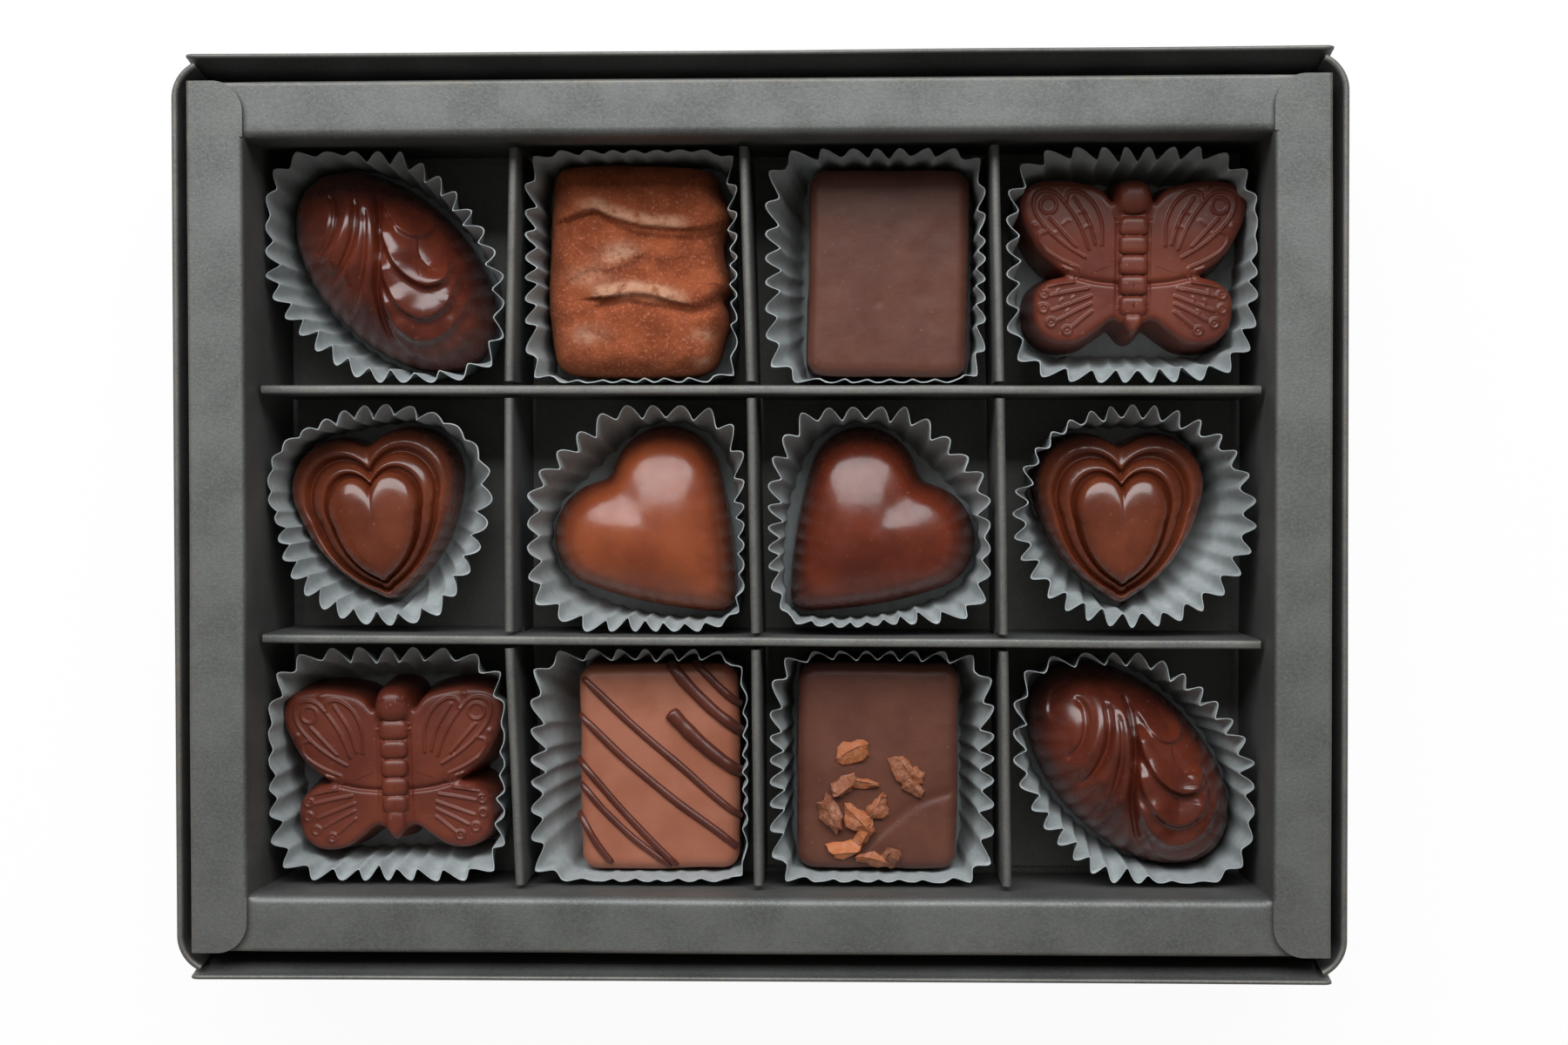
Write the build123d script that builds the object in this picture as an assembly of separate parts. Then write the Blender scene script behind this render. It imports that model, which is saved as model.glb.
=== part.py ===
from build123d import *
import math
import os
from typing import NamedTuple

# A box of twelve filled chocolates. X runs along the box, Y from its front to its back, Z up.
# The origin is at the middle of the surface that the box stands on.

# Folded card
card = 0.5

# Inner tray with hollow walls
tray_length = 170.0
tray_width = 130.5
tray_height = 30.0
border = 8.5
long_wall_lean = 1.1
fold_radius = 1.3
tab_radius = 4.6
inner_wall_gap = 0.3

# Lid, turned over under the tray
lid_height = 29.5
lid_play = 0.8
lid_long_wall = 1.6
lid_short_wall = 1.0
lid_long_flare = 2.0
lid_short_flare = 1.0
lid_corner_radius_rim = 6.0
lid_corner_radius_foot = 2.2
lid_corner_sweep = 65.0
lid_corner_bite = 0.4
lid_short_wall_drop = 0.5
lid_ear_setback = 2.4
lid_rim_radius = 0.7

# Loose card on the tray's floor
liner_setback = 1.5

# Crossed divider strips
strip = 1.4
strip_height = 21.8
strip_fold_radius = 0.6
strip_end_play = 0.6
column_slot = 2.6
row_slot = 2.1

# Pleated paper cups
paper = 0.25
paper_slant = 0.35
cup_height = 18.0
cup_play = 0.6
cup_wall_play = 0.5
pleat_depth = 2.0
pleat_depth_at_base = 0.4
hull_samples = 180

# Chocolates: heights and radii, and plan sizes as shares of a cell's shorter side
oval_length_share = 1.0256
oval_width_share = 0.6238
oval_height = 17.0
ridged_heart_length_share = 0.7190
ridged_heart_width_share = 0.6980
ridged_heart_height = 14.0
smooth_heart_length_share = 0.8062
smooth_heart_width_share = 0.8194
smooth_heart_height = 15.0
slab_length_share = 0.8564
slab_width_share = 0.6661
slab_height = 13.0
slab_corner_radius = 2.6
slab_edge_radius = 2.0
truffle_length_share = 0.8775
truffle_width_share = 0.7401
truffle_height = 14.0
truffle_edge_radius = 3.4
butterfly_span_share = 0.9198
butterfly_length_share = 0.6872
butterfly_height = 12.4
butterfly_draft = 1.2
body_rise = 1.0
head_radius = 2.9
body_radius = 2.3
drizzle_width = 1.3
blob_width = 2.6
nib_length = 5.6
nib_height = 1.5

# One overrun serves every cut.
overrun = 1.0

# Heights above the surface
tray_base = card
floor_top = tray_base + card
liner_top = floor_top + card
tray_top = tray_base + tray_height
long_border_top = tray_top - card
cup_rim = liner_top + cup_height
chocolate_base = liner_top + paper

# Opening of the tray
opening_length = tray_length - 2 * border
opening_width = tray_width - 2 * border
half_length = opening_length / 2
half_width = opening_width / 2
cell_length = opening_length / 4
cell_width = opening_width / 3
cell_side = min(cell_length, cell_width)

# Plan sizes of the chocolates
oval_length = oval_length_share * cell_side
oval_width = oval_width_share * cell_side
ridged_heart_length = ridged_heart_length_share * cell_side
ridged_heart_width = ridged_heart_width_share * cell_side
smooth_heart_length = smooth_heart_length_share * cell_side
smooth_heart_width = smooth_heart_width_share * cell_side
slab_length = slab_length_share * cell_side
slab_width = slab_width_share * cell_side
truffle_length = truffle_length_share * cell_side
truffle_width = truffle_width_share * cell_side
butterfly_span = butterfly_span_share * cell_side
butterfly_length = butterfly_length_share * cell_side


def panel(x0, x1, y0, y1, z0, z1):
    """A flat rectangular board between two corners."""
    board = Box(x1 - x0, y1 - y0, z1 - z0)
    return Pos((x0 + x1) / 2, (y0 + y1) / 2, (z0 + z1) / 2) * board


def outline(edges):
    """A flat face inside a closed run of lines and arcs."""
    return make_face(edges)


def prism_along_x(points, length):
    """Extrudes a Y-Z outline to both sides of the middle, along X."""
    face = Plane.YZ * make_face(Polyline(*points, close=True))
    return extrude(face, amount=length / 2, both=True)


# Lid


def lid_long_wall_face(height):
    """Inner face of a long wall at a height: it leans out steadily."""
    base = tray_width / 2 + lid_play
    return base + lid_long_flare * height / lid_height


def lid_short_wall_face(height):
    """Inner face of a short wall at a height."""
    base = tray_length / 2 + lid_play
    return base + lid_short_flare * height / lid_height


def short_wall_plan(height):
    """Plan of a short wall: straight, with ends that curve in behind the long walls."""
    outer = lid_short_wall_face(height) + lid_short_wall
    opened = lid_corner_radius_rim - lid_corner_radius_foot
    outer_radius = lid_corner_radius_foot + opened * height / lid_height
    inner_radius = outer_radius - lid_short_wall
    centre_x = outer - outer_radius
    sweep = math.radians(lid_corner_sweep)
    reach = lid_long_wall_face(height) + lid_corner_bite
    centre_y = reach - outer_radius * math.sin(sweep)

    def corner(side, radius, share):
        angle = sweep * share
        x = centre_x + radius * math.cos(angle)
        y = side * (centre_y + radius * math.sin(angle))
        return (x, y)

    outward_shares = (0, 0.5, 1)
    inward_shares = (1, 0.5, 0)
    edges = [
        Line(corner(-1, outer_radius, 0), corner(1, outer_radius, 0)),
        ThreePointArc(*[corner(1, outer_radius, share) for share in outward_shares]),
        Line(corner(1, outer_radius, 1), corner(1, inner_radius, 1)),
        ThreePointArc(*[corner(1, inner_radius, share) for share in inward_shares]),
        Line(corner(1, inner_radius, 0), corner(-1, inner_radius, 0)),
        ThreePointArc(*[corner(-1, inner_radius, share) for share in outward_shares]),
        Line(corner(-1, inner_radius, 1), corner(-1, outer_radius, 1)),
        ThreePointArc(*[corner(-1, outer_radius, share) for share in inward_shares]),
    ]
    return Pos(0, 0, height) * outline(edges)


def make_lid():
    """The turned-over lid: a panel and four walls of one folded card."""
    long_outer = lid_long_wall_face(0) + lid_long_wall
    short_outer = lid_short_wall_face(0) + lid_short_wall
    wall_length = 2 * (short_outer + lid_short_flare - lid_ear_setback)
    floor_panel = panel(-wall_length / 2, wall_length / 2, -long_outer, long_outer, 0, card)
    ends_panel = panel(-short_outer, short_outer, -half_width, half_width, 0, card)
    rim_inner = lid_long_wall_face(lid_height)
    wall = [
        (lid_long_wall_face(0), 0),
        (long_outer, 0),
        (rim_inner + lid_long_wall, lid_height),
        (rim_inner, lid_height),
    ]
    back = prism_along_x(wall, wall_length)
    back = fillet(back.edges().filter_by(Axis.X).group_by(Axis.Z)[-1], lid_rim_radius)
    short_rim = lid_height - lid_short_wall_drop
    right = loft([short_wall_plan(0), short_wall_plan(short_rim)], ruled=True)
    long_walls = back + mirror(back, Plane.XZ)
    short_walls = right + mirror(right, Plane.YZ)
    return floor_panel + ends_panel + long_walls + short_walls


# Tray


def long_side():
    """Cross-section of the back wall: outer wall, flat border with a soft fold, leaning inner wall."""
    outer = tray_width / 2
    inner = half_width
    foot = inner + long_wall_lean
    low = floor_top + inner_wall_gap
    points = [
        (outer, tray_base),
        (outer, long_border_top),
        (inner, long_border_top),
        (foot, low),
        (foot + card, low),
        (inner + card, long_border_top - card),
        (outer - card, long_border_top - card),
        (outer - card, tray_base),
    ]
    face = make_face(Polyline(*points, close=True))
    outer_fold = face.vertices().sort_by_distance(Vertex(inner, long_border_top))[0]
    face = fillet(outer_fold, fold_radius)
    inner_fold = face.vertices().sort_by_distance(Vertex(inner + card, long_border_top - card))[0]
    face = fillet(inner_fold, fold_radius - card)
    side = extrude(Plane.YZ * face, amount=tray_length / 2, both=True)
    corner_x = half_length + card
    corner_y = outer - card
    high = long_border_top - card
    for sign in (-1, 1):
        far = sign * (tray_length / 2 + overrun)
        near = sign * corner_x
        side -= panel(min(near, far), max(near, far), inner - overrun, corner_y, floor_top, high)
    return side


def short_side():
    """The right wall: outer wall, inner wall, and the border that lies over the long borders."""
    outer = tray_length / 2
    low = floor_top + inner_wall_gap
    wall = panel(outer - card, outer, -tray_width / 2, tray_width / 2, tray_base, long_border_top)
    foot = half_width + long_wall_lean
    inner = panel(half_length, half_length + card, -foot, foot, low, tray_top)
    tab = Pos((half_length + outer) / 2, 0) * Rectangle(border, tray_width)
    tab = fillet(tab.vertices().group_by(Axis.X)[0], tab_radius)
    tab = extrude(Pos(0, 0, long_border_top) * tab, amount=card)
    return wall + inner + tab


def make_tray():
    """The tray: a floor and four hollow walls, one folded card. The inner walls end just above the floor."""
    floor_panel = panel(-tray_length / 2, tray_length / 2, -tray_width / 2, tray_width / 2, tray_base, floor_top)
    back = long_side()
    right = short_side()
    long_walls = back + mirror(back, Plane.XZ)
    short_walls = right + mirror(right, Plane.YZ)
    return floor_panel + long_walls + short_walls


def make_liner():
    """The loose card on the tray's floor."""
    x = half_length - liner_setback
    y = half_width
    return panel(-x, x, -y, y, floor_top, liner_top)


# Dividers. Each column strip bends a little where it passes a row strip.

column_end = half_width - strip_end_play
row_end = half_length - strip_end_play
row_end_shares = {"back": (0.1725, 0.168), "front": (-0.163, -0.171)}
column_x_shares = {
    "left": (-0.2425, -0.2480, -0.2490, -0.2385),
    "middle": (-0.0135, -0.0070, -0.0025, -0.0005),
    "right": (0.2345, 0.2395, 0.2430, 0.2465),
}


def row_y(row, x):
    """Middle line of a row strip at a place along the box."""
    left, right = row_end_shares[row]
    share = left + (right - left) * (x + half_length) / opening_length
    return share * opening_width


def column_stations():
    """The four places, back to front, where a column strip starts, bends and ends."""
    return (column_end, row_y("back", 0), row_y("front", 0), -column_end)


def column_x(column, y):
    """Middle line of a column strip: straight between its four stations."""
    xs = [share * opening_length for share in column_x_shares[column]]
    ys = column_stations()
    for k in range(3):
        if y >= ys[k + 1] or k == 2:
            along = (ys[k] - y) / (ys[k] - ys[k + 1])
            return xs[k] + along * (xs[k + 1] - xs[k])


def folded_strip(centre_line):
    """A card strip folded double along its top edge, standing on a bent centre line."""
    offset_left = [(x - strip / 2 * nx, y - strip / 2 * ny) for x, y, nx, ny in centre_line]
    offset_right = [(x + strip / 2 * nx, y + strip / 2 * ny) for x, y, nx, ny in centre_line]
    plan = make_face(Polyline(*offset_left, *reversed(offset_right), close=True))
    body = extrude(Pos(0, 0, liner_top) * plan, amount=strip_height)
    top = body.faces().sort_by(Axis.Z)[-1]
    long_edges = [edge for edge in top.edges() if edge.length > 2 * strip]
    return fillet(long_edges, strip_fold_radius)


def make_column(column):
    """A column strip, slotted from above where the two row strips drop in."""
    ys = column_stations()
    line = [(column_x(column, y), y, 1, 0) for y in ys]
    body = folded_strip(line)
    middle = liner_top + strip_height / 2
    top = liner_top + strip_height + overrun
    for row in ("back", "front"):
        y = row_y(row, column_x(column, row_y(row, 0)))
        x = column_x(column, y)
        body -= panel(x - column_slot, x + column_slot, y - column_slot / 2, y + column_slot / 2, middle, top)
    return body


def make_row(row):
    """A row strip, slotted from below where it passes over the three column strips."""
    line = [(x, row_y(row, x), 0, 1) for x in (-row_end, row_end)]
    body = folded_strip(line)
    middle = liner_top + strip_height / 2
    low = liner_top - overrun
    for column in column_x_shares:
        x = column_x(column, row_y(row, 0))
        y = row_y(row, x)
        body -= panel(x - row_slot / 2, x + row_slot / 2, y - row_slot, y + row_slot, low, middle)
    return body


# Plans of the chocolates, centred and with their length along Y


def heart_plan(width, length):
    """A heart with its tip towards -Y: two lobes, two flanks and a rounded tip."""
    cleft_share = (0, 0.385)
    lobe_share = (0.265, 0.465)
    side_share = (0.5, 0.13)
    flank_share = (0.325, -0.23)
    tip_side_share = (0.05, -0.505)
    tip_share = (0, -0.535)

    def place(share, side=1):
        return (side * share[0] * width, share[1] * length)

    edges = [
        ThreePointArc(place(cleft_share), place(lobe_share), place(side_share)),
        ThreePointArc(place(side_share), place(flank_share), place(tip_side_share)),
        ThreePointArc(place(tip_side_share), place(tip_share), place(tip_side_share, -1)),
        ThreePointArc(place(tip_side_share, -1), place(flank_share, -1), place(side_share, -1)),
        ThreePointArc(place(side_share, -1), place(lobe_share, -1), place(cleft_share)),
    ]
    return outline(edges)


def stack(plan_at, height, level_shares, ruled=False):
    """Lofts one plan through named levels: each level is a share of the height and of the plan's size."""
    sections = [Pos(0, 0, z_share * height) * plan_at(size_share) for z_share, size_share in level_shares]
    return loft(sections, ruled=ruled)


def make_oval():
    """A domed oval praline on a low skirt."""
    levels_shares = ((0, 0.95), (0.16, 1.0), (0.42, 0.965), (0.66, 0.85), (0.85, 0.63), (1.0, 0.2))
    return stack(lambda k: Ellipse(k * oval_width / 2, k * oval_length / 2), oval_height, levels_shares)


def make_smooth_heart():
    """A plain domed heart."""
    levels_shares = ((0, 0.965), (0.14, 1.0), (0.42, 0.95), (0.68, 0.81), (0.88, 0.58), (1.0, 0.26))

    def plan_at(k):
        return heart_plan(k * smooth_heart_width, k * smooth_heart_length)

    return stack(plan_at, smooth_heart_height, levels_shares)


def make_ridged_heart():
    """A heart with two nested ridges round a raised inner heart."""
    tier_shares = (
        ((0, 0.965), (0.12, 1.0), (0.52, 0.93), (0.68, 0.84)),
        ((0.60, 0.76), (0.76, 0.735), (0.82, 0.66)),
        ((0.74, 0.60), (0.86, 0.575), (0.90, 0.52)),
        ((0.82, 0.47), (0.94, 0.445), (1.0, 0.36)),
    )

    def plan_at(k):
        return heart_plan(k * ridged_heart_width, k * ridged_heart_length)

    tiers = [stack(plan_at, ridged_heart_height, levels, ruled=True) for levels in tier_shares]
    body = tiers[0]
    for tier in tiers[1:]:
        body += tier
    return body


def make_slab(length, width, height, edge_radius):
    """A rectangular slab with rounded corners and a rounded top edge."""
    plan = RectangleRounded(width, length, slab_corner_radius)
    body = extrude(plan, amount=height)
    return fillet(body.faces().sort_by(Axis.Z)[-1].edges(), edge_radius)


butterfly_wing_shares = (
    # centre x, centre y, half length, half width, turn
    (0.250, 0.170, 0.270, 0.285, 38),
    (0.225, -0.235, 0.245, 0.225, -34),
)
head_share = 0.39
tail_share = -0.43
head_y = head_share * butterfly_length
tail_y = tail_share * butterfly_length


def wing_plan(wing, side, inset=0):
    """One wing as a turned ellipse, drawn in by an inset."""
    x_share, y_share, long_share, wide_share, turn = wing
    place = Pos(side * x_share * butterfly_span, y_share * butterfly_length) * Rot(0, 0, side * turn)
    return place * Ellipse(long_share * butterfly_span - inset, wide_share * butterfly_length - inset)


def trunk_plan():
    """The body seen from above: a long slot from the head to the tail."""
    slot = SlotCenterToCenter(head_y - tail_y - body_radius, 2 * body_radius)
    return Pos(0, (head_y + tail_y) / 2) * Rot(0, 0, 90) * slot


def butterfly_plan():
    """Outline of the whole butterfly at its foot."""
    plan = trunk_plan() + Pos(0, head_y) * Circle(head_radius)
    for wing in butterfly_wing_shares:
        plan += wing_plan(wing, -1) + wing_plan(wing, 1)
    return plan


def make_butterfly():
    """A butterfly with four drafted wings, a raised body and a round head."""
    tall = butterfly_height + body_rise
    body = extrude(trunk_plan(), amount=tall) + extrude(Pos(0, head_y) * Circle(head_radius), amount=tall)
    for wing in butterfly_wing_shares:
        for side in (-1, 1):
            top = Pos(0, 0, butterfly_height) * wing_plan(wing, side, butterfly_draft)
            body += loft([wing_plan(wing, side), top], ruled=True)
    return body


# The twelve cells: where each chocolate stands, which way it is turned, and how its paper cup opens out.
# Places are shares of the opening, cup sizes are shares of a cell.


class Cell(NamedTuple):
    """One chocolate in its cup."""

    name: str
    kind: str
    place_share: tuple
    turn: float
    rim_place_share: tuple
    rim_size_share: tuple
    squareness: float
    flare_share: float
    pleats: int


cells = (
    Cell("a1", "oval", (-0.3830, 0.3435), 44.5, (-0.3765, 0.3425), (0.489, 0.481), 5.0, 0.20, 30),
    Cell("a2", "truffle", (-0.1250, 0.3385), 1.5, (-0.1260, 0.3385), (0.447, 0.489), 7.0, 0.40, 34),
    Cell("a3", "plain_slab", (0.1310, 0.3330), -0.8, (0.1190, 0.3375), (0.449, 0.481), 7.0, 0.60, 32),
    Cell("a4", "butterfly", (0.3780, 0.3440), -0.5, (0.3715, 0.3390), (0.502, 0.478), 4.5, 0.40, 32),
    Cell("b1", "ridged_heart", (-0.3980, 0.0080), 9.0, (-0.3760, 0.0030), (0.450, 0.452), 2.2, 0.40, 30),
    Cell("b2", "smooth_heart", (-0.1050, -0.0260), 43.0, (-0.1220, -0.0030), (0.446, 0.462), 5.0, 0.24, 30),
    Cell("b3", "smooth_heart", (0.1080, -0.0280), -45.0, (0.1220, 0.0010), (0.452, 0.441), 5.0, 0.24, 32),
    Cell("b4", "ridged_heart", (0.3680, 0.0040), 0.0, (0.3750, 0.0000), (0.486, 0.452), 2.1, 0.60, 31),
    Cell("c1", "butterfly", (-0.3760, -0.3510), 1.5, (-0.3740, -0.3400), (0.500, 0.489), 4.5, 0.40, 30),
    Cell("c2", "drizzled_slab", (-0.1035, -0.3455), 0.5, (-0.1220, -0.3435), (0.442, 0.493), 7.0, 0.40, 32),
    Cell("c3", "nib_slab", (0.1190, -0.3440), -0.5, (0.1230, -0.3430), (0.450, 0.484), 7.0, 0.40, 32),
    Cell("c4", "oval", (0.3790, -0.3475), 44.5, (0.3740, -0.3415), (0.482, 0.473), 5.0, 0.20, 30),
)


def spread(cell):
    """Middle of a cell's chocolate on the floor."""
    return (cell.place_share[0] * opening_length, cell.place_share[1] * opening_width)


def cell_bounds(cell):
    """The free space between a cell's four walls and strips, less the cups' play."""
    row = "abc".index(cell.name[0])
    column = int(cell.name[1]) - 1
    half_strip = strip / 2
    x, y = spread(cell)
    back_sides = [half_width, row_y("back", x) - half_strip, row_y("front", x) - half_strip]
    front_sides = [row_y("back", x) + half_strip, row_y("front", x) + half_strip, -half_width]
    stations = column_stations()
    ys = (stations[row], stations[row + 1])
    names = list(column_x_shares)
    if column == 0:
        low_x = -half_length
    else:
        low_x = max(column_x(names[column - 1], at) for at in ys) + half_strip
    if column == 3:
        high_x = half_length
    else:
        high_x = min(column_x(names[column], at) for at in ys) - half_strip
    play = cup_wall_play
    return (low_x + play, high_x - play, front_sides[row] + play, back_sides[row] - play)


halvings = 40
glancing = 0.05


def rim_distance(cell, ux, uy):
    """Distance from the chocolate's middle to the cup's rim outline: a superellipse, found by halving."""
    x, y = spread(cell)
    rim_x = cell.rim_place_share[0] * opening_length
    rim_y = cell.rim_place_share[1] * opening_width
    half_x = cell.rim_size_share[0] * cell_length
    half_y = cell.rim_size_share[1] * cell_width
    low, high = 0, half_x + half_y
    for step in range(halvings):
        middle = (low + high) / 2
        u = abs(x + middle * ux - rim_x) / half_x
        v = abs(y + middle * uy - rim_y) / half_y
        if u**cell.squareness + v**cell.squareness < 1:
            low = middle
        else:
            high = middle
    return low


def hull_supports(cell, plan):
    """How far the turned plan reaches in each of many directions from its middle."""
    wire = plan.faces()[0].outer_wire()
    turn = math.radians(cell.turn)
    points = []
    for k in range(hull_samples):
        p = wire.position_at(k / hull_samples)
        points.append((p.X * math.cos(turn) - p.Y * math.sin(turn), p.X * math.sin(turn) + p.Y * math.cos(turn)))
    supports = []
    for k in range(hull_samples):
        angle = 2 * math.pi * k / hull_samples
        reach = max(px * math.cos(angle) + py * math.sin(angle) for px, py in points)
        supports.append((angle, reach))
    return supports


def hull_distance(supports, angle, margin):
    """Distance from the middle, in a direction, to the plan's hull widened by a margin."""
    best = None
    for facing, reach in supports:
        along = math.cos(angle - facing)
        if along > glancing:
            distance = (reach + margin) / along
            best = distance if best is None else min(best, distance)
    return best


def bounds_distance(bounds, x, y, ux, uy):
    """Distance from a place to the bounds of its cell, in a direction."""
    x0, x1, y0, y1 = bounds
    along_x = ((x1 if ux > 0 else x0) - x) / ux if ux else math.inf
    along_y = ((y1 if uy > 0 else y0) - y) / uy if uy else math.inf
    return min(along_x, along_y)


def cup_rings(cell, plan):
    """The four rings of points of a pleated cup: outer foot, outer rim, inner rim, inner foot.

    The foot follows the chocolate's hull. The rim opens out to the cup's outline, and no further than
    its flare or the cell allows. Odd points are the pleats' tips and even points are their valleys.
    """
    x, y = spread(cell)
    supports = hull_supports(cell, plan)
    bounds = cell_bounds(cell)
    margin = cup_play + paper_slant
    flare = cell.flare_share * cup_height
    count = 2 * cell.pleats
    rings = {"outer_foot": [], "outer_rim": [], "inner_rim": [], "inner_foot": []}
    for k in range(count):
        angle = 2 * math.pi * k / count
        ux, uy = math.cos(angle), math.sin(angle)
        limit = bounds_distance(bounds, x, y, ux, uy)
        foot = min(hull_distance(supports, angle, margin), limit)
        rim = max(rim_distance(cell, ux, uy), foot + pleat_depth_at_base)
        rim = min(rim, foot + flare, limit)
        if k % 2:
            foot = min(foot + pleat_depth_at_base, limit)
        else:
            rim = max(rim - pleat_depth, foot)
        places = {"outer_foot": (foot, liner_top), "outer_rim": (rim, cup_rim)}
        places["inner_rim"] = (rim - paper_slant, cup_rim)
        places["inner_foot"] = (foot - paper_slant, liner_top + paper)
        for ring, (distance, z) in places.items():
            rings[ring].append(Vector(x + distance * ux, y + distance * uy, z))
    return rings


def facet(corners):
    """A flat face between corner points."""
    return Face(Wire.make_polygon(corners, close=True))


def make_cup(cell, plan):
    """A pleated cup: a thin closed solid of flat facets between four rings of points."""
    rings = cup_rings(cell, plan)
    outer_rim = Wire.make_polygon(rings["outer_rim"], close=True)
    inner_rim = Wire.make_polygon(rings["inner_rim"], close=True)
    faces = [facet(rings["outer_foot"]), facet(rings["inner_foot"]), Face(outer_rim, [inner_rim])]
    for low, high in (("outer_foot", "outer_rim"), ("inner_foot", "inner_rim")):
        lower, upper = rings[low], rings[high]
        for k in range(len(lower)):
            n = (k + 1) % len(lower)
            faces.append(facet((lower[k], lower[n], upper[k])))
            faces.append(facet((upper[k], lower[n], upper[n])))
    return Solid(Shell(faces))


# Toppings


def round_line(start, end, width):
    """A round bar with round ends."""
    path = Line(start, end)
    section = Plane(origin=start, z_dir=path % 0) * Circle(width / 2)
    bar = sweep(section, path)
    return bar + Pos(*start) * Sphere(width / 2) + Pos(*end) * Sphere(width / 2)


def make_drizzle(slab):
    """Piped lines across the slab, seated on its top and over its edges."""
    line_shares = (
        # start x, start y, end x, end y
        (-0.455, 0.420, 0.470, -0.205),
        (-0.465, 0.236, 0.460, -0.378),
        (-0.470, 0.020, 0.085, -0.465),
        (-0.465, -0.100, 0.035, -0.468),
        (0.100, 0.465, 0.470, 0.205),
        (0.225, 0.470, 0.465, 0.330),
        (-0.460, -0.290, -0.310, -0.440),
    )
    lines = None
    for x0, y0, x1, y1 in line_shares:
        start = (x0 * slab_width, y0 * slab_length, slab_height)
        end = (x1 * slab_width, y1 * slab_length, slab_height)
        line = round_line(start, end, drizzle_width)
        lines = line if lines is None else lines + line
    blob_start_share = (0.090, 0.255)
    blob_end_share = (0.430, 0.025)
    blob_start = (blob_start_share[0] * slab_width, blob_start_share[1] * slab_length, slab_height)
    blob_end = (blob_end_share[0] * slab_width, blob_end_share[1] * slab_length, slab_height)
    lines += round_line(blob_start, blob_end, blob_width)
    return lines - slab


def make_nibs():
    """Broken cacao nibs: eight faceted chips that lie on the slab's top."""
    chip_shares = (
        # centre x, centre y, length, width, turn
        (-0.159, 0.068, 0.75, 1.1, 30),
        (0.160, -0.030, 1.55, 0.85, -55),
        (-0.149, -0.098, 1.30, 0.80, 15),
        (-0.292, -0.230, 1.00, 0.95, -60),
        (-0.127, -0.272, 1.05, 1.00, -45),
        (0.010, -0.195, 0.70, 1.00, 70),
        (-0.215, -0.385, 0.95, 0.75, 5),
        (0.020, -0.420, 1.00, 0.85, -12),
    )
    foot_shares = ((-0.5, -0.14), (-0.18, -0.32), (0.34, -0.22), (0.5, 0.1), (0.05, 0.3), (-0.36, 0.22))
    crest_shares = ((-0.34, -0.06), (-0.12, -0.2), (0.2, -0.1), (0.3, 0.04), (0.06, 0.14), (-0.22, 0.1))
    chips = []
    for x_share, y_share, long_share, wide_share, turn in chip_shares:
        long = long_share * nib_length
        wide = wide_share * nib_length
        place = Pos(x_share * slab_width, y_share * slab_length, slab_height) * Rot(0, 0, turn)
        foot = make_face(Polyline(*[(x * long, y * wide) for x, y in foot_shares], close=True))
        crest = make_face(Polyline(*[(x * long, y * wide) for x, y in crest_shares], close=True))
        rise = nib_height * wide_share
        chips.append(place * loft([foot, Pos(0, 0, rise) * crest], ruled=True))
    return Compound(chips)


def make_chocolate(kind):
    """The chocolate of one kind, standing on the plane Z = 0 about its own middle."""
    if kind == "oval":
        return make_oval()
    if kind == "smooth_heart":
        return make_smooth_heart()
    if kind == "ridged_heart":
        return make_ridged_heart()
    if kind == "butterfly":
        return make_butterfly()
    if kind == "truffle":
        return make_slab(truffle_length, truffle_width, truffle_height, truffle_edge_radius)
    return make_slab(slab_length, slab_width, slab_height, slab_edge_radius)


def chocolate_plan(kind):
    """The widest plan of a kind of chocolate, about its own middle."""
    if kind == "oval":
        return Ellipse(oval_width / 2, oval_length / 2)
    if kind == "smooth_heart":
        return heart_plan(smooth_heart_width, smooth_heart_length)
    if kind == "ridged_heart":
        return heart_plan(ridged_heart_width, ridged_heart_length)
    if kind == "butterfly":
        return butterfly_plan()
    if kind == "truffle":
        return RectangleRounded(truffle_width, truffle_length, slab_corner_radius)
    return RectangleRounded(slab_width, slab_length, slab_corner_radius)


def save(name, shape):
    """Writes one node."""
    export_step(shape, f"parts/{name}.step")


os.makedirs("parts", exist_ok=True)
save("lid", make_lid())
save("tray", make_tray())
save("floor_liner", make_liner())
for column in column_x_shares:
    save(f"divider_column_{column}", make_column(column))
for row in row_end_shares:
    save(f"divider_row_{row}", make_row(row))
for cell in cells:
    save(f"cup_{cell.name}", make_cup(cell, chocolate_plan(cell.kind)))
    chocolate = make_chocolate(cell.kind)
    x, y = spread(cell)
    placed = Pos(x, y, chocolate_base) * Rot(0, 0, cell.turn)
    save(f"{cell.kind}_{cell.name}", placed * chocolate)
    if cell.kind == "drizzled_slab":
        save("drizzle_lines", placed * make_drizzle(chocolate))
    if cell.kind == "nib_slab":
        save("cacao_nibs", placed * make_nibs())
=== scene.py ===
"""A folded-card box of twelve chocolates in pleated paper cups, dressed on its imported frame."""

import logging
import math
from dataclasses import dataclass, field
from enum import Enum
from typing import ClassVar, Sequence

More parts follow.
